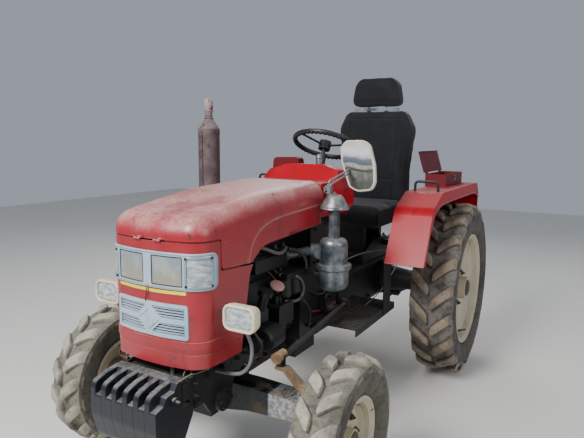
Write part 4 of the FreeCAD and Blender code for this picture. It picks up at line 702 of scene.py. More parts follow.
def seed(bm, name):
    """A shape drawn about the station (0, 0, 0), brought to the origin to be copied."""
    mesh = shaped(bm, name)
    mesh.transform(Matrix.Translation(-at(0, 0, 0)))
    return mesh


def bolts(name, rows, finish, body="root"):
    """Bolts as one piece: each row is a place, the way its head faces and its width across."""
    mesh = bpy.data.meshes.new(name + "_spots")
    mesh.from_pydata([at(*place) for place, facing, width in rows], [], [])
    mesh.attributes.new("facing", "FLOAT_VECTOR", "POINT")
    give_values(mesh, "size", [width / 1000 for place, facing, width in rows])
    for point, (place, facing, width) in zip(mesh.attributes["facing"].data, rows):
        point.vector = Vector(facing).normalized()
    made = grown(mesh, bolts_tree, {"Head height": 0.6, "Washer radius": 0.85, "Finish": finish})
    return dress(name, made, body)


# %% [markdown]
# A farm tyre is a rounded carcass with bars of rubber on it. The bars run from beside the
# middle out over the shoulder and lean back, so that mud is squeezed out to the sides. The
# drawing has them with flat faces. Here the carcass is turned from a rounded profile, and
# one lug, lofted along its leaning path, is copied round the axle by the first tree. An
# attribute holds how high each point stands, and the rubber's material puts pale clay there.

# %% Tyres with lugs
# A tread's profile: distance from the middle, then how far the lug's top and the carcass
# lie below the tyre's radius.
REAR_ROWS = [(6, 3, 31), (60.25, 0, 30), (107.5, 14, 42), (120.5, 75, 75)]
FRONT_ROWS = [(6, 0, 24), (69.5, 12, 33), (82.5, 52, 52)]
# Kind, station, half track, radius, width, rim flange's radius, half rim, lugs, profile, and a
# lug's half breadth as a share of the pitch.
TYRES = (("rear", 0, 565, 506, 241, 325, 102, 20, REAR_ROWS, 0.165),
         ("front", 1595, 575, 312, 165, 166, 60, 16, FRONT_ROWS, 0.215))
RUBBERS = {"rear": (rear_carcass_mud_and_sun, rear_lug_rubber), "front": (front_carcass_rubber, front_lug_rubber)}
LUG_STATIONS = (0.0, 0.035, 0.09, 0.2, 0.34, 0.48, 0.62, 0.76, 0.87, 0.94, 1.0)


def clamped(value):
    return max(0.0, min(1.0, value))


def read_between(rows, along, column):
    """Value of a column at a distance from the middle, read between the rows."""
    for near, far in zip(rows, rows[1:]):
        if along <= far[0]:
            share = max(0.0, (along - near[0]) / (far[0] - near[0]))
            return near[column] + (far[column] - near[column]) * share
    return rows[-1][column]


def lug_mesh(radius, width, lugs, rows, side, broad):
    """One lug about a wheel centre at the origin, its nose beside the middle."""
    pitch = 2 * math.pi / lugs
    reach = width / 2 - rows[0][0]
    bm = bmesh.new()
    rings = []
    rises = []
    for share in LUG_STATIONS:
        along = rows[0][0] + reach * share
        lean = reach * 0.9 / radius * (1.3 * share - 0.3 * share * share)
        nose = min(1.0, 0.5 + 5.0 * share)
        foot = pitch * (broad + 0.055) * min(1.0, nose + 0.2)
        crown = pitch * broad * nose
        top = radius - read_between(rows, along, 1) - (5.0 if share == 0 else 0)
        low = radius - read_between(rows, along, 2) - 5
        if share == 1.0:
            top = low + 6
        soft = min(3.5, (top - low) * 0.25)
        profile = [(-foot, low), (-crown - 0.006, top - soft), (-crown * 0.86, top - 0.6), (0, top + 0.4),
                   (crown * 0.86, top - 0.6), (crown + 0.006, top - soft), (foot, low)]
        angles = [(lean + part - math.pi / 2, r) for part, r in profile]
        rings.append([Vector((r * math.cos(a), side * along, r * math.sin(a))) / 1000 for a, r in angles])
        rises += [clamped((r - low - 8) / max(1.0, top - low - 8)) for part, r in profile]
    skin(bm, rings)
    bmesh.ops.recalc_face_normals(bm, faces=bm.faces)
    mesh = bpy.data.meshes.new("lug")
    bm.to_mesh(mesh)
    bm.free()
    give_values(mesh, "rise", rises)
    return mesh


def tyre(kind, word, centre, radius, width, flange, rim_half, lugs, rows, broad):
    """Carcass and tread of one wheel; the carcass stands for the CAD tyre."""
    body = f"{kind}_wheel_{word}"
    ground, clay = RUBBERS[kind]
    half = [(0, radius - rows[0][2])]
    half += [(along, radius - low) for along, top, low in rows[1:-1]]
    half[-1] = (half[-1][0] - 6, half[-1][1] + 4)
    wall = radius - rows[-1][2]
    half += [(width / 2 - 3, wall + 14), (width / 2, wall - 6), (width / 2 + 0.5, (wall * 2 + flange) / 3),
             (width / 2 - 2, (wall + flange * 1.3) / 2.3), (width / 2 - 6, flange + 30),
             (rim_half + 6, flange + 16), (rim_half + 8, flange + 13), (rim_half + 6, flange + 10),
             (rim_half - 3, flange + 3), (rim_half - 8, flange + 1), (rim_half - 12, flange - 16)]
    profile = [(r, -a) for a, r in reversed(half[1:])] + [(r, a) for a, r in half]
    bm = bmesh.new()
    turned(bm, profile, centre, (0, 1, 0), steps=96, closed=True)
    made = shaped(bm, "carcass", 50)
    away = [(v.co - at(*centre)) * 1000 for v in made.vertices]
    give_values(made, "rise", [clamped((math.hypot(gap.x, gap.z) - wall + 12) / 30) * 0.95 for gap in away])
    dress(f"{kind}_carcass_{word}", made, body, ground, stands_for=[f"{kind}_tyre_{word}"])
    pitch = 2 * math.pi / lugs
    for edge, side in SIDES:
        made = copied(lug_mesh(radius, width, lugs, rows, side, broad), clay, lugs, centre,
                      (0.0, 1.0, 0.0), pitch * 0.5 if side < 0 else 0.0, pitch)
        dress(f"{kind}_tread_{word}_{edge}", made, body)


for word, side in SIDES:
    for kind, x, half_track, radius, *sizes in TYRES:
        tyre(kind, word, (x, side * half_track, radius), radius, *sizes)

# %% [markdown]
# The bonnet is one pressing. A crease runs forward from its rear edge along each side and
# then turns down beside the wheel arch, and the strip below it lies a few millimetres
# deeper. The drawing has plain sides, so this piece is a copy of the drawn bonnet, cut along
# the crease and pressed in below it. Only the sides move, so the top and the hinges stay.

# %% Bonnet with its pressed crease
CREASE = [(1000, 1092), (1150, 1088), (1290, 1081), (1400, 1074), (1490, 1066), (1545, 1054), (1590, 1034),
          (1622, 1008), (1643, 975), (1653, 940), (1657, 900), (1660, 840)]
CREASE_LINES = [(Vector(start), Vector(end)) for start, end in zip(CREASE, CREASE[1:])]
SIDE_Y = 180
ARCH_X = 1668
PRESSED = 8.0


def cut(bm, faces, point, facing):
    """Cuts only the given faces, by the plane through a point."""
    verts = list({v for f in faces for v in f.verts})
    edges = list({e for f in faces for e in f.edges})
    bmesh.ops.bisect_plane(bm, geom=verts + edges + faces, plane_co=point, plane_no=facing)


def below_crease(x, z):
    """Distance below the crease line, negative above it."""
    here = Vector((x, z))
    gaps = []
    for start, end in CREASE_LINES:
        span = end - start
        share = clamped((here - start).dot(span) / span.length_squared)
        side = 1 if span.x * (here.y - start.y) - span.y * (here.x - start.x) < 0 else -1
        gaps.append(((here - start - span * share).length, side))
    gap, side = min(gaps, key=lambda pair: pair[0])
    return gap * side


bm = bmesh.new()
bm.from_mesh(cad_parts["bonnet"].data)
bmesh.ops.remove_doubles(bm, verts=bm.verts, dist=1e-5)
for x, z in CREASE[1:-1]:
    cut(bm, bm.faces[:], at(x, 0, z), (1, 0, 0))
for facing, places in (((1, 0, 0), range(1012, 1690, 24)), (UP, range(890, 1110, 24))):
    for place in places:
        cut(bm, [f for f in bm.faces if abs(f.normal.y) > 0.6], at(place, 0, place), facing)
for depth in (-9, -6, -3, 0, 3, 6, 9):
    for start, end in CREASE_LINES:
        along = Vector((end.x - start.x, 0, end.y - start.y)).normalized()
        across = Vector((-along.z, 0, along.x))
        near = [f for f in bm.faces if start.x <= station(f.calc_center_median())[0] <= end.x]
        cut(bm, near, at(start.x, 0, start.y) - across * depth / 1000, across)
for v in bm.verts:
    x, y, z = station(v.co)
    if abs(y) >= SIDE_Y:
        depth = below_crease(x, z)
        share = clamped(depth / 9)
        lip = 2.2 * math.exp(-((depth + 3) / 4) ** 2)
        fade = clamped((ARCH_X - x) / 25)
        v.co.y -= math.copysign((PRESSED * share * share * (3 - 2 * share) - lip) * fade, y) / 1000
bonnet_mesh = shaped(bm, "bonnet_pressing", 40)
# A pale line along the crease's upper edge: partly worn paint, partly a painted highlight.
wear_and_highlight_values = []
for v in bonnet_mesh.vertices:
    x, y, z = station(v.co)
    on_side = abs(y) > SIDE_Y and CREASE[0][0] < x < ARCH_X
    wear_and_highlight_values.append(0.5 * math.exp(-((below_crease(x, z) + 2) / 5) ** 2) if on_side else 0.0)
give_values(bonnet_mesh, "crease_wear_and_highlight", wear_and_highlight_values)
dress("bonnet_pressing", bonnet_mesh, "bonnet", red_enamel, stands_for=["bonnet"])

# %% [markdown]
# Lamps, strips and screws lie on the nose, which is bowed in plan. They are drawn flat, as
# distance round the nose, height, and height above the sheet, and then wrapped onto it.

# %% Wrap flat shapes round the nose
BODY_FRONT = 1950.0
nose_plan = outline([(895, -235), (BODY_FRONT - 26, -210, 78), (BODY_FRONT, -60, 400), (BODY_FRONT, 60, 400),
                     (BODY_FRONT - 26, 210, 78), (895, 235)], 16)
nose_runs = [0.0]
for near, far in zip(nose_plan, nose_plan[1:]):
    nose_runs.append(nose_runs[-1] + (Vector(far) - Vector(near)).length)
nose_middle = nose_runs[-1] / 2


def on_nose(run, height, proud):
    """A point proud of the nose sheet, at a distance round it from the middle to the left."""
    run = max(0.0, min(nose_runs[-1] - 0.01, run + nose_middle))
    i = max(k for k in range(len(nose_plan) - 1) if nose_runs[k] <= run)
    near, far = Vector(nose_plan[i]), Vector(nose_plan[i + 1])
    span = far - near
    here = near + span * (run - nose_runs[i]) / span.length
    way = Vector((span.y, -span.x)).normalized()
    return at(here.x + way.x * proud, here.y + way.y * proud, height)


def wrapped(bm):
    """Moves a flat shape, drawn as (run, height, proud) through at(), onto the nose."""
    for v in bm.verts:
        v.co = on_nose(*station(v.co))


def fine(loop, reach=14.0):
    """The same outline with extra points, so that it can bend round the nose."""
    made = []
    for i, point in enumerate(loop):
        here, following = Vector(point), Vector(loop[(i + 1) % len(loop)])
        count = max(1, math.ceil((following - here).length / reach))
        made += [tuple(here.lerp(following, k / count)) for k in range(count)]
    return made


def nose_piece(name, bm, finish, stands_for=()):
    wrapped(bm)
    piece(name, bm, finish, stands_for=stands_for)


def frame_ring(bm, loop, width, low, high):
    """A moulded frame along an outline: flat back, rounded face, drawn flat."""
    loop = fine(loop)
    shells = [(0, low), (0, high - 1), (width * 0.25, high), (width * 0.75, high), (width, high - 1),
              (width, low)]
    rings = [[at(a, b, rise) for a, b in shrunk(loop, inset)] for inset, rise in shells]
    skin(bm, rings + [rings[0]], cap=False)


# %% [markdown]
# Behind the seams between bonnet and nose runs a folded lip of the nose sheet. Each head
# lamp sits in a dark rubber gasket. The corner lamp is a separate unit with its own bright
# frame, held by four screws. Two strips of yellow tape run under the bezel, cut where a
# thin black wire comes out and goes down to the grille.

# %% Nose trim
gasket_rubber = weathered("rubber_gasket_dry", "1C1D1E", "2A2B2B", "6B665C", 0.35, 0.0, 0.8)
mesh_paint = weathered("wire_mesh_pale_blue", "5C6E7C", "738592", "8D8C82", 0.4, 0.0, 0.6, grime="27303A",
                       grime_share=0.6, patch_mm=40.0)
bright_trim = weathered("chrome_trim_dull", "8FA3B0", "9FB0BA", "A9A79C", 0.3, 0.0, 0.3, metal=0.5)
yellow_tape = weathered("vinyl_tape_yellow", "D8D41E", "C9C33A", "A9A26A", 0.2, 0.0, 0.45, grime="7A7430")
wire_black = weathered("pvc_wire_black", "141517", "1E1F21", "5B574E", 0.45, 0.0, 0.5)
wire_pale = weathered("pvc_wire_pale", "6A685F", "5B5952", "7A7366", 0.4, 0.0, 0.5)
rim_pale = weathered("abs_mirror_rim_pale", "D2CDBF", "BDB6A6", "8A8272", 0.3, 0.0, 0.4)

# Section of the lip, as (across the seam, above the sheet): a strip below it and a narrow rib
LIPS = (((-9, -5.2), (9, -5.2), (9, -6.6), (-9, -6.6)), ((-1.9, -1.4), (1.9, -1.4), (1.9, -5.6), (-1.9, -5.6)))
SEAM_Z = 1040
SEAM_START = 76
corner_run = next(run for run in range(100, int(nose_middle)) if station(on_nose(run, 0, 0))[0] < 1822)
top_runs = [SEAM_START + k * (corner_run + 1 - SEAM_START) / 40 for k in range(41)]
bm = bmesh.new()
for word, side in SIDES:
    for lip in LIPS:
        skin(bm, [[on_nose(side * run, SEAM_Z + up, deep) for up, deep in lip] for run in top_runs])
        skin(bm, [[on_nose(side * (corner_run + off), z, deep) for off, deep in lip]
                  for z in range(932, SEAM_Z + 1, 12)])
        skin(bm, [[on_nose(side * (corner_run + back), 934 - back * 0.067 + up, deep) for up, deep in lip]
                  for back in range(-2, 103, 8)])
# The lips take the darker red, which is painted shade.
piece("seam_lips", bm, red_enamel_shaded)

bm = bmesh.new()
slab(bm, fine(rounded_box(-150, 150, 716, 820, 6), 12), -10.5, -9.5, "z")
nose_piece("grille_mesh", bm, mesh_paint)

bezel_edge = fine(rounded_box(-272, 272, 878, 1004, 27))
bezel_face = shrunk(bezel_edge, 1.3)
windows = [fine(rounded_box(side * near, side * far, low, high, radius)) for word, side in SIDES
           for near, far, low, high, radius in ((19, 142, 891, 991, 4), (152, 245, 889, 993, 10))]
bm = bmesh.new()
for level, edge in ((0.5, bezel_edge), (5.2, bezel_face)):
    edges = []
    for loop in [edge] + windows:
        corners = [bm.verts.new(at(a, b, level)) for a, b in loop]
        edges += [bm.edges.new((corners[i - 1], corners[i])) for i in range(len(corners))]
    bmesh.ops.triangle_fill(bm, use_beauty=True, use_dissolve=False, edges=edges)
for rows in [[(0.5, loop), (5.2, loop)] for loop in windows] + [
        [(0.5, bezel_edge), (3.9, bezel_edge), (5.2, bezel_face)]]:
    skin(bm, [[at(a, b, level) for a, b in loop] for level, loop in rows], cap=False)
nose_piece("bezel_plate", bm, silver_enamel, stands_for=["lamp_bezel"])

corner_bm, gasket_bm, frame_bm, tape_bm = (bmesh.new() for _ in range(4))
screw_spots = []
for word, side in SIDES:
    for low, high in ((877.5, 909), (973, 1004.5)):
        slab(corner_bm, fine(rounded_box(side * 241, side * 273.5, low, high, 0.5), 8), -2.0, 0.0, "z")
    frame_ring(gasket_bm, rounded_box(side * 17, side * 144, 889, 993, 6), 4.5, 3.0, 5.6)
    frame_ring(frame_bm, rounded_box(side * 150, side * 247, 887, 995, 12), 8, 3.0, 8.0)
    for run, height in ((156, 894), (156, 988), (240, 894), (240, 988)):
        foot, tip = on_nose(side * run, height, 8), on_nose(side * run, height, 20)
        screw_spots.append((station(foot), tip - foot, 5.5))
frame_ring(frame_bm, rounded_box(-268, 268, 882, 1000, 23), 4, 4.0, 7.0)
for low, high, lift in ((-150, -4, 0), (3, 152, 1)):
    rings = []
    for share in (k / 11 for k in range(12)):
        foot = (low + (high - low) * share, 862 - lift + 2 * lift * share)
        head = (low - 1 + (high - low + 3) * share, 873 - lift + 2 * lift * share)
        rings.append([at(*foot, 0.2), at(*foot, 1.2), at(*head, 1.2), at(*head, 0.2)])
    skin(tape_bm, rings)
nose_piece("bezel_corner_sheet", corner_bm, red_enamel)
nose_piece("lamp_gaskets", gasket_bm, gasket_rubber)
nose_piece("lamp_frames", frame_bm, bright_trim)
nose_piece("yellow_strips", tape_bm, yellow_tape)
bolts("lamp_screws", screw_spots, gasket_rubber)
wire_route = [(0, 878, 5), (0, 874, 9), (-3, 862, 8), (-9, 845, 5), (-12, 828, 6), (-10, 822, 3)]
hoses("lamp_wire", [(1.6, [station(on_nose(*point)) for point in wire_route])], wire_black)

# %% [markdown]
# The ballast plates are rough castings. Each rib curls over the top of its plate and meets
# the plate's face in one soft line, so that the row reads as six hooks.

# %% Ballast ribs
RIB_PITCH = 50
rib = outline([(1970, 518), (2000, 470), (2088.2, 462), (2088.2, 553, 30), (2028, 571, 42), (1970, 576.5)], 8)
bm = bmesh.new()
for k in range(-3, 3):
    slab(bm, rib, k * RIB_PITCH + 0.2, k * RIB_PITCH + 23.4, "y", 2.2)
piece("ballast_ribs", bm, weight_enamel)

# %% [markdown]
# Each work lamp is a cream plastic shell with a wide moulded rim, on a bent stalk. Its glass
# is pressed with upright prisms and domed a little, so that it catches the light.

# %% Work lamps
LAMP_FACE_X = 1862.0
# Sections of the rim and of the shell behind it: how far inside the outline, and how far ahead
LAMP_RIM = [(0.5, -22), (-1.5, -20), (-1.5, -3), (1.5, 0.8), (6, 0.8), (8.5, -2), (9, -7)]
LAMP_BACK = [(7, -8), (1, -8), (0.5, -20), (2, -38), (6, -48), (13, -54), (24, -57)]


def dome(bm, loop, x, rise, steps=5):
    """A shallow dome over an outline that faces forward."""
    centre = sum((Vector(p) for p in loop), Vector((0, 0))) / len(loop)
    rings = [[at(x - 1, *p) for p in loop]]
    for k in range(steps):
        turn = k / (steps - 1) * math.pi / 2
        scale = math.cos(turn) * 0.98 + 0.02
        rings.append([at(x + rise * math.sin(turn), *(centre + (Vector(p) - centre) * scale)) for p in loop])
    skin(bm, rings)


def lamp_outline(side, inset):
    return rounded_box(side * (246 + inset), side * (372 - inset), 744 + inset, 832 - inset, max(6, 26 - inset))


def lamp_skin(bm, side, rows, cap=True):
    skin(bm, [[at(LAMP_FACE_X + rise, *p) for p in lamp_outline(side, inset)] for inset, rise in rows], cap)


shell_bm = bmesh.new()
for word, side in SIDES:
    bm = bmesh.new()
    dome(bm, fine(lamp_outline(side, 8), 10), LAMP_FACE_X - 7.4, 6.0)
    piece("work_lamp_glass_" + word, bm, work_lens, sharp=60)
    bm = bmesh.new()
    lamp_skin(bm, side, LAMP_RIM, cap=False)
    piece("work_lamp_rim_" + word, bm, cream_abs)
    lamp_skin(shell_bm, side, LAMP_BACK)
piece("work_lamp_shells", shell_bm, cream_abs, sharp=50, stands_for=["work_lamps"])
hoses("work_lamp_stalks", both_sides(7, [
    (1780, 152, 545), (1780, 210, 545), (1768, 262, 552), (1760, 292, 596), (1764, 300, 660), (1800, 306, 712),
    (1826, 309, 752)]), grey_tube)

# %% [markdown]
# The mirror is a pressed steel shell with a rolled rim of pale plastic round glass that has
# lost half of its silvering and carries a painted reflection.

# %% Mirror
MIRROR_X = 854
MIRROR_RIM = [(-1, -6), (-2.5, 4), (0, 12.5), (3.5, 16), (7, 15), (9.5, 11.5)]
mirror_loop = outline([
    (255, 1152, 35), (300, 1130, 60), (372, 1142, 30), (388, 1180, 60), (382, 1262, 150), (355, 1356, 40),
    (320, 1375, 60), (230, 1372, 30), (204, 1340, 30), (212, 1268, 150)], 8)
bm = bmesh.new()
skin(bm, [[at(MIRROR_X + rise, *p) for p in shrunk(mirror_loop, inset)] for inset, rise in MIRROR_RIM],
     cap=False)
piece("mirror_rim", bm, rim_pale, sharp=60)
bm = bmesh.new()
dome(bm, shrunk(mirror_loop, 8.5), MIRROR_X + 12.4, 1.5, 4)
piece("mirror_glass", bm, mirror_painted_reflection, sharp=60)

# %% [markdown]
# The silencer is one rolled sheet with a lumpy, rusted weld down its side and a rounded
# shoulder. The air cleaner is galvanised sheet: a clamp band holds its oil bowl, with three
# wire clips, and the rain cap has a rolled lip and a nut.

# %% Silencer and air cleaner
MUFFLER = (1237.0, -298.0)
MUFFLER_RADIUS = 50
SEAM_TURN = math.radians(1.5)
SEAM_LUMPS = 78
CLEANER = (1125.0, 303.0)
lathed("silencer_welds", [
    ([(49, -16), (50.6, -14), (51.2, 0), (48.6, 12), (42, 22), (36, 26)], (*MUFFLER, 1412)),
    ([(49, -4), (51.7, -2.5), (52.3, 0), (51.7, 2.5), (49, 4)], (*MUFFLER, 1016)),
    ([(20, -3), (23, 0), (20, 3)], (*MUFFLER, 1470), UP, 32),
], burnt_steel)
weld = random.Random(7)
seam_x = MUFFLER[0] + MUFFLER_RADIUS * math.cos(SEAM_TURN)
seam_y = MUFFLER[1] + MUFFLER_RADIUS * math.sin(SEAM_TURN)
bm = bmesh.new()
for k in range(SEAM_LUMPS):
    height = 1022 + k * 5.1 + weld.uniform(-1, 1)
    lump = bmesh.ops.create_icosphere(bm, subdivisions=1, radius=weld.uniform(0.0024, 0.0042))
    bmesh.ops.translate(bm, verts=lump["verts"], vec=at(seam_x, seam_y, height))
weld_rust = weathered("steel_weld_rusted", "2A1A17", "3A2521", "7A625A", 0.3, 0.4, 0.85)
piece("silencer_seam", bm, weld_rust)

lathed("cleaner_bands", [
    ([(64, -12), (68, -11), (68, -9), (79.5, -7), (81, 0), (79.5, 7), (68, 9), (60, 10)],
     (*CLEANER, 822), UP, 64),
    ([(60, -2), (63.5, -2), (64.5, 0), (63.5, 2.5), (60, 3)], (*CLEANER, 1080), UP, 64),
    ([(0, 0), (12, 0), (12, 5), (6, 8), (6, 14), (0, 15)], (*CLEANER, 1137), UP, 24),
    ([(52, -2), (57.8, -1), (58.4, 1), (57.8, 3), (52, 3)], (*CLEANER, 900)),
    ([(0, -182), (44, -182), (56, -178), (64, -168), (68.5, -152), (69.5, -90), (60, -89)],
     (*CLEANER, 897), UP, 64),
    ([(50, -66), (62, -66), (62.5, 20), (60, 34), (52, 44), (40, 48), (26, 49), (26, 52), (24.5, 60),
      (24.5, 172), (20, 172)], (*CLEANER, 900), UP, 64),
], zinc_steel)
# Half of a wire clip: distance from the cleaner's middle, height, and distance from the clip's
CLIP = [(84, 828, 9), (85, 815, 9), (72, 800, 8), (70, 775, 5)]
clip_rows = []
for a in (math.radians(degrees) for degrees in (35, 155, 275)):
    bent = [(radius, height, -aside) for radius, height, aside in CLIP] + [(72, 766, 0)] + CLIP[::-1]
    clip_rows.append((2.0, [(CLEANER[0] + radius * math.cos(a) - aside * math.sin(a),
                             CLEANER[1] + radius * math.sin(a) + aside * math.cos(a), height)
                            for radius, height, aside in bent]))
hoses("cleaner_clips", clip_rows, zinc_steel)

# %% [markdown]
# The seat is foam under a stretched woven cover. Each pad starts as a copy of the drawn
# form, a little slimmer, remeshed into even small faces. A cloth simulation with pressure
# inside then crowns it, no point may travel far, and the result is frozen. Seams come
# last, pressed in along the lines that the cover is sewn on, because remeshing would erase
# them.

# %% Padded seat
FORWARD = Vector((1, 0, 0))
HEADREST_FOOT = 1.6005
NO_SEAM = 99


def spread(ways, edges, rounds):
    """Evens out how far the points moved: each takes half of its neighbours' mean move."""
    for _ in range(rounds):
        sums = [Vector() for _ in ways]
        ties = [0] * len(ways)
        for a, b in edges:
            sums[a] += ways[b]
            sums[b] += ways[a]
            ties[a] += 1
            ties[b] += 1
        ways = [(way + total / max(tie, 1)) / 2 for way, total, tie in zip(ways, sums, ties)]
    return ways


def swollen(name, slim, voxel, cap, calm=0):
    """Mesh of a CAD pad, slimmed, remeshed, blown up a little by a cloth simulation, and smoothed."""
    bm = bmesh.new()
    bm.from_mesh(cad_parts[name].data)
    bmesh.ops.remove_doubles(bm, verts=bm.verts, dist=1e-5)
    posts = [v for v in bm.verts if name == "headrest" and v.co.z < HEADREST_FOOT]
    bmesh.ops.delete(bm, geom=posts, context="VERTS")
    bmesh.ops.holes_fill(bm, edges=bm.edges, sides=0)
    low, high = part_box(name)
    middle = (low + high) / 2
    for v in bm.verts:
        v.co = Vector(middle[i] + (v.co[i] - middle[i]) * slim[i] for i in range(3))
    mesh = bpy.data.meshes.new(name + "_start")
    bm.to_mesh(mesh)
    bm.free()
    start = linked(name + "_start", mesh)
    remesh = start.modifiers.new("even_faces", "REMESH")
    remesh.mode = "VOXEL"
    remesh.voxel_size = voxel
    even = baked(start)
    even.materials.clear()
    pad = linked(name + "_pad", even)
    rest = [v.co.copy() for v in even.vertices]
    cloth = pad.modifiers.new("pressure", "CLOTH")
    cloth.settings.use_pressure = True
    cloth.settings.uniform_pressure_force = 4.0
    cloth.settings.effector_weights.gravity = 0.0
    cloth.settings.quality = 4
    cloth.settings.mass = 0.3
    scene = bpy.context.scene
    for moment in range(1, 21):
        scene.frame_set(moment)
    depsgraph = bpy.context.evaluated_depsgraph_get()
    blown = [v.co.copy() for v in pad.evaluated_get(depsgraph).data.vertices]
    scene.frame_set(1)
    pad.modifiers.remove(cloth)
    ways = [after - before for before, after in zip(rest, blown)]
    ways = [way * min(1.0, cap / max(way.length, 1e-9)) for way in ways]
    ways = spread(ways, [tuple(edge.vertices) for edge in even.edges], calm)
    for v, before, way in zip(even.vertices, rest, ways):
        v.co = before + way
    smooth = pad.modifiers.new("finer", "SUBSURF")
    smooth.levels = 1
    smooth.render_levels = 1
    return baked(pad)


def sew(mesh, forward, seams, deep, wide):
    """Presses seams into the faces that look one way; each seam says how far a place is from it."""
    normals = [v.normal.copy() for v in mesh.vertices]
    for v, normal in zip(mesh.vertices, normals):
        look = normal.dot(forward)
        if look >= 0.25:
            away = min(abs(seam(*station(v.co))) for seam in seams)
            press = math.exp(-(away / wide) ** 2) * deep * min(1.0, (look - 0.25) * 2)
            v.co -= normal * press / 1000


def channel(y):
    """Distance from the nearest of the cover's channels, which run 30 mm apart."""
    return (y + 15) % 30 - 15


def pad_piece(name, mesh):
    mesh.shade_smooth()
    dress(name + "_cover", mesh, "root", seat_cloth, stands_for=[name])


back_mesh = swollen("seat_back", (0.88, 0.99, 1.0), 0.0085, 0.016)
for v in back_mesh.vertices:
    v.co.z = 0.9 + (v.co.z - 0.9) * 1.022
    v.co.y *= 1.035
sew(back_mesh, FORWARD, [
    lambda x, y, z: abs(y) - (150 + 0.05 * (z - 1200)),
    lambda x, y, z: z - 1130 if abs(y) < 152 else NO_SEAM,
    lambda x, y, z: z - 1516 if abs(y) < 178 else NO_SEAM], 7.0, 6.0)
sew(back_mesh, FORWARD, [
    lambda x, y, z: channel(y) if abs(y) < 146 and 1135 < z < 1498 else NO_SEAM], 2.2, 5.0)
pad_piece("seat_back", back_mesh)

cushion_mesh = swollen("seat_cushion", (0.965, 0.955, 0.86), 0.0085, 0.016)
sew(cushion_mesh, Vector(UP), [
    lambda x, y, z: abs(y) - 165, lambda x, y, z: x - 330 if abs(y) < 168 else NO_SEAM], 7.0, 6.0)
sew(cushion_mesh, Vector(UP), [
    lambda x, y, z: channel(y) if abs(y) < 160 and x < 325 else NO_SEAM], 2.0, 5.0)
pad_piece("seat_cushion", cushion_mesh)

# Upwards the headrest narrows and its crown rises in the middle, to the drawing's height
HEAD_LOW, HEAD_TOP = 1.602, 1.776
head_mesh = swollen("headrest", (0.88, 0.985, 1.0), 0.0075, 0.014, calm=24)
for v in head_mesh.vertices:
    up = clamped((v.co.z - HEAD_LOW) / 0.173)
    v.co.z = HEAD_TOP - (HEAD_TOP - v.co.z) * 1.06 + 0.0095 * up ** 3 * math.exp(-(v.co.y / 0.05) ** 2)
    v.co.y *= 1.0 - 0.16 * up * up
sew(head_mesh, FORWARD, [lambda x, y, z: z - (1762 - abs(y) * 0.10), lambda x, y, z: z - 1622], 4.0, 4.0)
pad_piece("headrest", head_mesh)

# %% [markdown]
# Under the headrest run its two posts and a bare zinc plate. The cushion rests on a
# pressed pan with a rolled edge.

# %% Seat metal
POST_X = -142
bm = bmesh.new()
slab(bm, rounded_box(-150, 158, 1564, 1583, 4), -112, -107, "x", 1.2)
for y in (-60, 60):
    turned(bm, [(6.4, 0), (6.4, 45)], (POST_X, y, 1560), steps=20)
    turned(bm, [(13, 0), (13, 5), (7, 8)], (POST_X, y, 1561), steps=24)
    slab(bm, [(-146, 1566), (-108, 1566), (-108, 1572), (-146, 1572)], y - 8, y + 8, "y")
piece("headrest_plate", bm, zinc_steel)
hoses("seat_pan_edge", both_sides(5.0, [
    (330, 150, 872), (336, 182, 872), (300, 186, 872), (0, 186, 872), (-62, 180, 872)]), black_enamel)

# %% [markdown]
# The open engine bay is full of rubber and wire. Hoses sag a little between their unions,
# a belt runs round the three pulleys, and the radiator's fins lie 7 mm apart, which is
# wider than real ones, so that they can be seen.

# %% Hoses, wires and belt
rubber_hose = weathered("rubber_hose_old", "1B1C1D", "2B2A28", "5F594E", 0.5, 0.0, 0.7)
pale_hose = weathered("pvc_hose_pale", "5D5C59", "4A4947", "6B6558", 0.5, 0.0, 0.45)
nut_steel = weathered("steel_wheel_nut", "3A3733", "4A453E", "7C7365", 0.5, 0.15, 0.6, metal=0.4)
red_lead = weathered("pvc_lead_red", "8C1418", "9A2A2A", "6B5048", 0.4, 0.0, 0.5)
hoses("water_hoses", [
    (21, [(1690, 70, 1044), (1648, 70, 1052), (1602, 52, 1040), (1562, 25, 985), (1546, 12, 930)]),
    (18, [(1694, -120, 632), (1655, -120, 632), (1608, -122, 620), (1560, -126, 600), (1535, -118, 590)]),
    (6, [(1133, 150, 695), (1080, 178, 672), (1020, 176, 640), (925, 172, 633), (835, 150, 660)]),
    (8, [(1200, 205, 812), (1190, 205, 850), (1230, 175, 900), (1260, 150, 905)]),
    (5, [(1240, 203, 690), (1180, 215, 640), (1150, 205, 560), (1100, 160, 500), (1040, 150, 470)]),
], rubber_hose)
hoses("pale_hoses", [
    (8, [(1480, 120, 950), (1440, 158, 934), (1385, 166, 908), (1320, 160, 900), (1268, 140, 912)]),
    (7, [(1356, 160, 810), (1290, 196, 806), (1222, 204, 760), (1212, 200, 700), (1262, 196, 672),
         (1330, 170, 690)]),
], pale_hose)
hoses("injector_pipes", [
    (3, [(1300, 158, 725), (1305, 164, 760), (1300, 150, 800), (1300, 118, 840)]),
    (3, [(1330, 158, 725), (1335, 166, 770), (1345, 150, 810), (1350, 118, 840)]),
    (3, [(1360, 158, 725), (1368, 168, 770), (1395, 150, 815), (1400, 118, 840)]),
], nut_steel)
hoses("thin_wires", [
    (2.4, [(1105, 262, 812), (1000, 276, 806), (860, 280, 812), (700, 282, 806), (560, 330, 800),
           (470, 380, 790)]),
    (2.6, [(463, 385, 730), (480, 370, 690), (546, 345, 610), (650, 330, 566), (760, 315, 545)]),
    (2.2, [(1958, 148, 580), (1930, 158, 588), (1900, 160, 580), (1838, 166, 576)]),
    (2.0, [(1944, 140, 582), (1922, 128, 596), (1902, 140, 592), (1916, 156, 584), (1938, 150, 580)]),
], wire_pale)
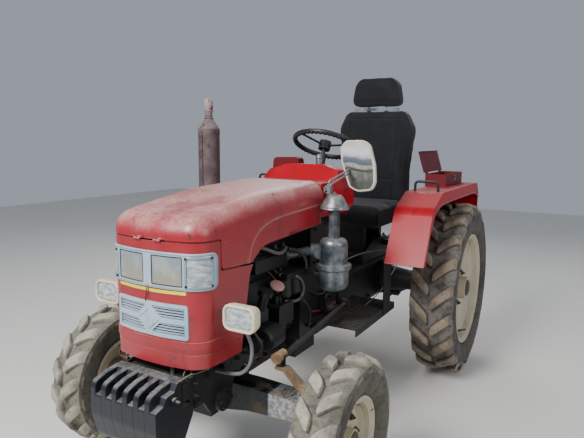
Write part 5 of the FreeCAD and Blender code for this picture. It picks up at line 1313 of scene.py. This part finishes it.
hoses("battery_lead", [
    (5, [(1040, 150, 560), (930, 170, 540), (840, 176, 552), (760, 180, 566), (700, 180, 540)])], red_lead)


def belt_loop(pulleys):
    """The line of a belt round pulleys (y, z, radius), as the hull of their circles."""
    points = sorted((y + r * math.cos(a), z + r * math.sin(a))
                    for y, z, r in pulleys for a in (2 * math.pi * k / 48 for k in range(48)))
    hull = []
    for sweep in (points, points[::-1]):
        start = len(hull)
        for p in sweep:
            while len(hull) >= start + 2:
                (ax, ay), (bx, by) = hull[-2:]
                if (bx - ax) * (p[1] - ay) - (by - ay) * (p[0] - ax) > 0:
                    break
                hull.pop()
            hull.append(p)
        hull.pop()
    return hull


inner_line = fine(belt_loop([(0, 580, 60), (0, 800, 30), (203, 592, 26)]), 30)
outer_line = shrunk(inner_line, -7)
bm = bmesh.new()
skin(bm, [[at(x, y, z) for y, z in line] for x, line in (
    (1599, inner_line), (1596, outer_line), (1610, outer_line), (1607, inner_line), (1599, inner_line))],
    cap=False)
piece("fan_belt", bm, rubber_hose)

bm = bmesh.new()
slab(bm, [(1688, -182), (1762, -182), (1762, 182), (1688, 182)], 0, 1.6, "z")
fins = copied(seed(bm, "fin"), radiator_black, 58, (0, 0, 606), shift=(0.0, 0.0, 0.007))
dress("radiator_fins", fins, "root")

# %% [markdown]
# Every wheel is held by nuts on its hub, each hub has a pressed cap, and a rubber valve
# stands in the rim. The nuts are points for the bolt tree, one mesh for each body.

# %% Wheel nuts, caps and valves
VALVE = [(0, -10), (7, -10), (6, 8), (4, 14), (4, 30), (5, 30), (5, 38), (0, 39)]
# Kind, station and height of the axle; the nuts' distance from the middle, circle, number and
# width; the cap's distance, profile and steps; the valve's distance and drop below the axle.
HUBS = (("rear", 0, 506, 607, 100, 8, 17, 657, [(0, 14), (30, 12), (46, 6), (50, 0), (0, -2)], 40, 632, 268),
        ("front", 1595, 312, 589, 80, 6, 16, 619, [(0, 12), (24, 10), (36, 4), (38, 0), (0, -2)], 36, 590, 116))


def round_spots(centre, radius, count, side, size):
    """Bolt places on a circle about an axle that runs across the tractor."""
    x, y, z = centre
    angles = [2 * math.pi * k / count for k in range(count)]
    return [((x + radius * math.cos(a), side * y, z + radius * math.sin(a)), (0, side, 0), size)
            for a in angles]


for word, side in SIDES:
    for kind, x, z, nut_y, circle, count, size, cap_y, cap, steps, valve_y, drop in HUBS:
        body = f"{kind}_wheel_{word}"
        bolts(f"{kind}_nuts_{word}", round_spots((x, nut_y, z), circle, count, side, size), nut_steel, body)
        lathed(f"{kind}_cap_{word}", [(cap, (x, side * cap_y, z), (0, side, 0), steps)], nut_steel, body)
        lathed(f"{kind}_valve_{word}", [
            (VALVE, (x + 14, side * valve_y, z - drop), (0, side * 0.9, 0.35), 14)], rubber_hose, body)

# %% [markdown]
# Bolts hold the castings and side plates together. One list gives their places, the way
# each head faces and its width across flats.

# %% Bolts on the chassis and the engine
RAIL_BOLTS = ((1902, 545), (1902, 500), (1835, 548), (1700, 548), (1650, 548), (1500, 545), (1450, 545),
              (1450, 492), (1880, 470))
chassis_spots = []
for word, side in SIDES:
    rows = [(x, 152, z, 15) for x, z in RAIL_BOLTS]
    rows += [(x, y, z, 12) for x, y in ((1110, 165), (1045, 150), (930, 150), (880, 150)) for z in (520, 620)]
    rows += [(x, 115, z, 14) for x in (220, 420, 620, 820) for z in (430, 600)]
    rows += [(1030, 156.3, z, 11) for z in (800, 880, 960)]
    chassis_spots += [((x, side * y, z), (0, side, 0), size) for x, y, z, size in rows]
    chassis_spots += round_spots((1756, 174, 429), 32, 6, side, 10)
    chassis_spots += round_spots((0, 131, 506), 96, 10, side, 14)
    chassis_spots += round_spots((0, 440, 506), 74, 8, side, 12)
chassis_spots += [((-130, y, z), (-1, 0, 0), 15) for y in (-85, 85) for z in (430, 600)]
chassis_spots += [((x, y, z), UP, 13) for x, z in ((-90, 762), (0, 762), (90, 762), (180, 735), (260, 712))
                  for y in (-88, 88)]
bolts("chassis_bolts", chassis_spots, black_enamel)

engine_spots = [((x, y, z), facing, size) for x in (1190, 1260, 1330, 1400, 1470, 1540)
                for y, z, facing, size in ((82, 900, UP, 13), (-82, 900, UP, 13), (120, 545, (0, 1, 0), 11))]
engine_spots += [((x, y, 955), UP, 12) for x in (1215, 1500) for y in (30, -30)]
bolts("engine_bolts", engine_spots, zinc_steel)

# %% [markdown]
# The steering wheel's rim has finger grips under it and a moulded cap over its hub. The
# grips are one bump copied round the tilted axle.

# %% Steering wheel and dash
TILT = math.radians(25)
WHEEL = (620, 0, 1352)
GRIPS = 44
column = (-math.sin(TILT), 0.0, math.cos(TILT))
bm = bmesh.new()
bmesh.ops.create_uvsphere(bm, u_segments=10, v_segments=6, radius=0.0095)
bm.transform(Matrix.Rotation(-TILT, 4, "Y") @ Matrix.Translation((0.165, 0, -0.0085))
             @ Matrix.Diagonal((1.1, 0.9, 0.9, 1)))
dress("wheel_grips", copied(shaped(bm, "grip"), black_abs, GRIPS, WHEEL, column, turn=2 * math.pi / GRIPS),
      "steering_wheel")
lathed("wheel_cap", [
    ([(0, 24), (14, 23), (26, 18), (33, 8), (34, 0), (34, -6), (0, -6)], WHEEL, column, 36)],
    black_abs, "steering_wheel")

bm = bmesh.new()
slab(bm, outline([(-218, 1212, 10), (-56, 1212, 10), (-62, 1288, 22), (-212, 1284, 22)]), 742, 806, "x", 4)
# The hood takes the darker red, which is painted shade.
piece("instrument_hood", bm, red_enamel_shaded)
dial_face = weathered("acrylic_dial_face", "D5D2C6", "C4C0B2", "8F897A", 0.25, 0.0, 0.3)
dials = [(741.5, y, 1250) for y in (-178, -136, -94)]
lathed("dial_faces", [([(0, 0), (16, 0), (16, -1.5), (0, -2)], dial, FORWARD, 32) for dial in dials], dial_face)
lathed("dial_rings", [([(16, 2), (16, -4), (18, -5), (20, -4), (20, 2)], dial, FORWARD, 32) for dial in dials],
       black_abs)
lathed("fluid_pot", [
    ([(0, 0), (18, 0), (18, 46), (14, 52), (0, 54)], (792, 55, 1250), UP, 32),
    ([(18, 30), (20.5, 31), (20.5, 36), (18, 37)], (792, 55, 1250), UP, 32)], zinc_steel)

# %% [markdown]
# The fenders are pressed sheet with a wire rolled into the outer edge. The platforms carry
# a ribbed rubber mat, and the splined end of the power take-off shows six teeth.

# %% Fender beads, mats and splines
hoses("fender_beads", both_sides(4.5, [
    (722, 600, 773), (716, 600, 820), (660, 600, 922), (598, 600, 1006), (520, 600, 1040), (400, 600, 1052),
    (0, 600, 1052), (-360, 600, 1052), (-430, 600, 1030), (-480, 600, 1012)]) + both_sides(3.5, [
        (752, 408, 774), (753, 470, 774), (753, 540, 774), (752, 598, 774)]), red_enamel)

mat_rubber = weathered("rubber_mat_ribbed", "1D1D1C", "2A2926", "6F675A", 0.75, 0.0, 0.8)
for word, side in SIDES:
    bm = bmesh.new()
    slab(bm, outline([(-4, 0, 2), (4, 0, 2), (3, 3.5), (-3, 3.5)], 3), side * 168, side * 388, "y")
    ribs = copied(seed(bm, "rib"), mat_rubber, 24, (580, 0, 525), shift=(0.02, 0.0, 0.0))
    dress("mat_ribs_" + word, ribs, "root")

bm = bmesh.new()
slab(bm, [(-3.5, 15), (3.5, 15), (3, 19.5), (-3, 19.5)], -222, -172, "x")
dress("pto_splines", copied(seed(bm, "tooth"), bright_steel, 6, (0, 0, 520), (1.0, 0.0, 0.0), turn=math.pi / 3),
      "pto_shaft")

# %% [markdown]
# Small fittings round the nose and tail: a ring on its eye, a breather tube on the bar,
# the fuel filler's cap on its neck, the steering rod's rubber boot, the tail lamps' bright
# frames and ribbed lenses, and the toolbox's clasp.

# %% Small fittings
round_wire = [(18 + 3.5 * math.cos(a), 3.5 * math.sin(a)) for a in (math.pi * k / 6 for k in range(12))]
lathed("tow_ring", [
    (round_wire, (1912, -172, 592), (1, 0.3, 0), 32, True),
    ([(0, 0), (7, 0), (7, 20), (0, 20)], (1912, -150, 572), (0, -1, 0), 16)], rusty_steel)
cap_pink = weathered("polymer_cap_faded", "B07A74", "C09088", "A08A80", 0.3, 0.0, 0.5)
lathed("filler_cap", [
    ([(0, 10), (25, 9), (31, 5), (31, -1), (22, -3), (15, -14), (0, -14)], (1397, 176, 774),
     (0.25, 0.433, 0.866), 32)], cap_pink)
hoses("filler_neck", [(12, [(1390, 170, 768), (1382, 160, 750), (1380, 130, 715), (1380, 100, 700)])],
      engine_enamel)
folds = [((15.5 if k % 2 else 21.5) - 0.35 * k, 4.5 * k) for k in range(15)]
boot_tan = weathered("rubber_boot_clay", "8A6C4C", "B0946E", "C8B491", 0.9, 0.0, 0.85, patch_mm=40.0)
lathed("link_boots", [
    ([(0, 0)] + folds + [(0, folds[-1][1])], (1636, 318, 572), (-1, -0.06, 0.04), 28)],
    boot_tan, "drag_link", 60)
hoses("axle_wire_ring", [(2.2, [
    (1564, 352, 441), (1568, 338, 442), (1600, 333, 444), (1640, 344, 443), (1644, 360, 442), (1620, 373, 447),
    (1586, 372, 452), (1566, 356, 446)])], rusty_steel)
lathed("breather_tube", [
    ([(0, 0), (7, 0), (7, 36), (4.5, 36), (4.5, 30), (0, 30)], (1910, 62, 558), UP, 20)], wire_pale)
frame_bm, rib_bm = bmesh.new(), bmesh.new()
for word, side in SIDES:
    loop = rounded_box(side * 498, side * 582, 938, 996, 13)
    skin(frame_bm, [[at(x, *p) for p in shrunk(loop, inset)] for inset, x in (
        (0, -485), (0, -498), (1.5, -501.5), (4.5, -501.5), (6, -499))], cap=False)
    for y in (side * (508 + 10.7 * k) for k in range(7)):
        slab(rib_bm, [(y - 2, 946), (y + 2, 946), (y + 2, 988), (y - 2, 988)], -503, -499, "x", 1.2)
piece("tail_lamp_frames", frame_bm, bright_trim)
piece("tail_lamp_ribs", rib_bm, red_lens_plastic)
bm = bmesh.new()
slab(bm, rounded_box(-150, -110, 1140, 1172, 4), 518, 521, "y", 0.8)
turned(bm, [(0, 0), (5, 0), (5, 6), (0, 7)], (-130, 521, 1160), (0, 1, 0), 14)
piece("toolbox_clasp", bm, zinc_steel)

# %% [markdown]
# Light and floor come from a studio: a pale plain floor, one large soft light from the
# front and above, a weaker one from the tractor's left, one from behind, and a pale surround.

# %% Floor and lights


def soft_light(name, spot, target, size, watts):
    data = bpy.data.lights.new(name, "AREA")
    data.shape = "DISK"
    data.size = size
    data.energy = watts
    lamp = linked(name, data)
    lamp.matrix_world = (target - spot).to_track_quat("-Z", "Y").to_matrix().to_4x4()
    lamp.location = spot


soft_light("key_light", Vector((3.9, -0.4, 3.6)), Vector((0.2, 0, 0.7)), 1.6, 300.0)
soft_light("side_light", Vector((1.2, 4.2, 2.6)), Vector((0, 0, 0.6)), 3.0, 70.0)
soft_light("back_light", Vector((-3.5, -1.5, 3.2)), Vector((0, 0, 0.8)), 2.6, 80.0)
world = bpy.data.worlds.new("studio_surround")
world.use_nodes = True
surround = world.node_tree.nodes["Background"].inputs
surround[0].default_value = linear("D2DCEA")
surround[1].default_value = 0.5
bpy.context.scene.world = world

floor_mesh = bpy.data.meshes.new("studio_floor")
floor_mesh.from_pydata([(-9, -9, 0), (9, -9, 0), (9, 9, 0), (-9, 9, 0)], [], [(0, 1, 2, 3)])
floor_paint, _, floor_shader, _ = blank_material("paint_studio_floor")
floor_shader.inputs["Base Color"].default_value = linear("D8D5CF")
floor_shader.inputs["Roughness"].default_value = 0.85
floor_mesh.materials.append(floor_paint)
linked("studio_floor", floor_mesh)
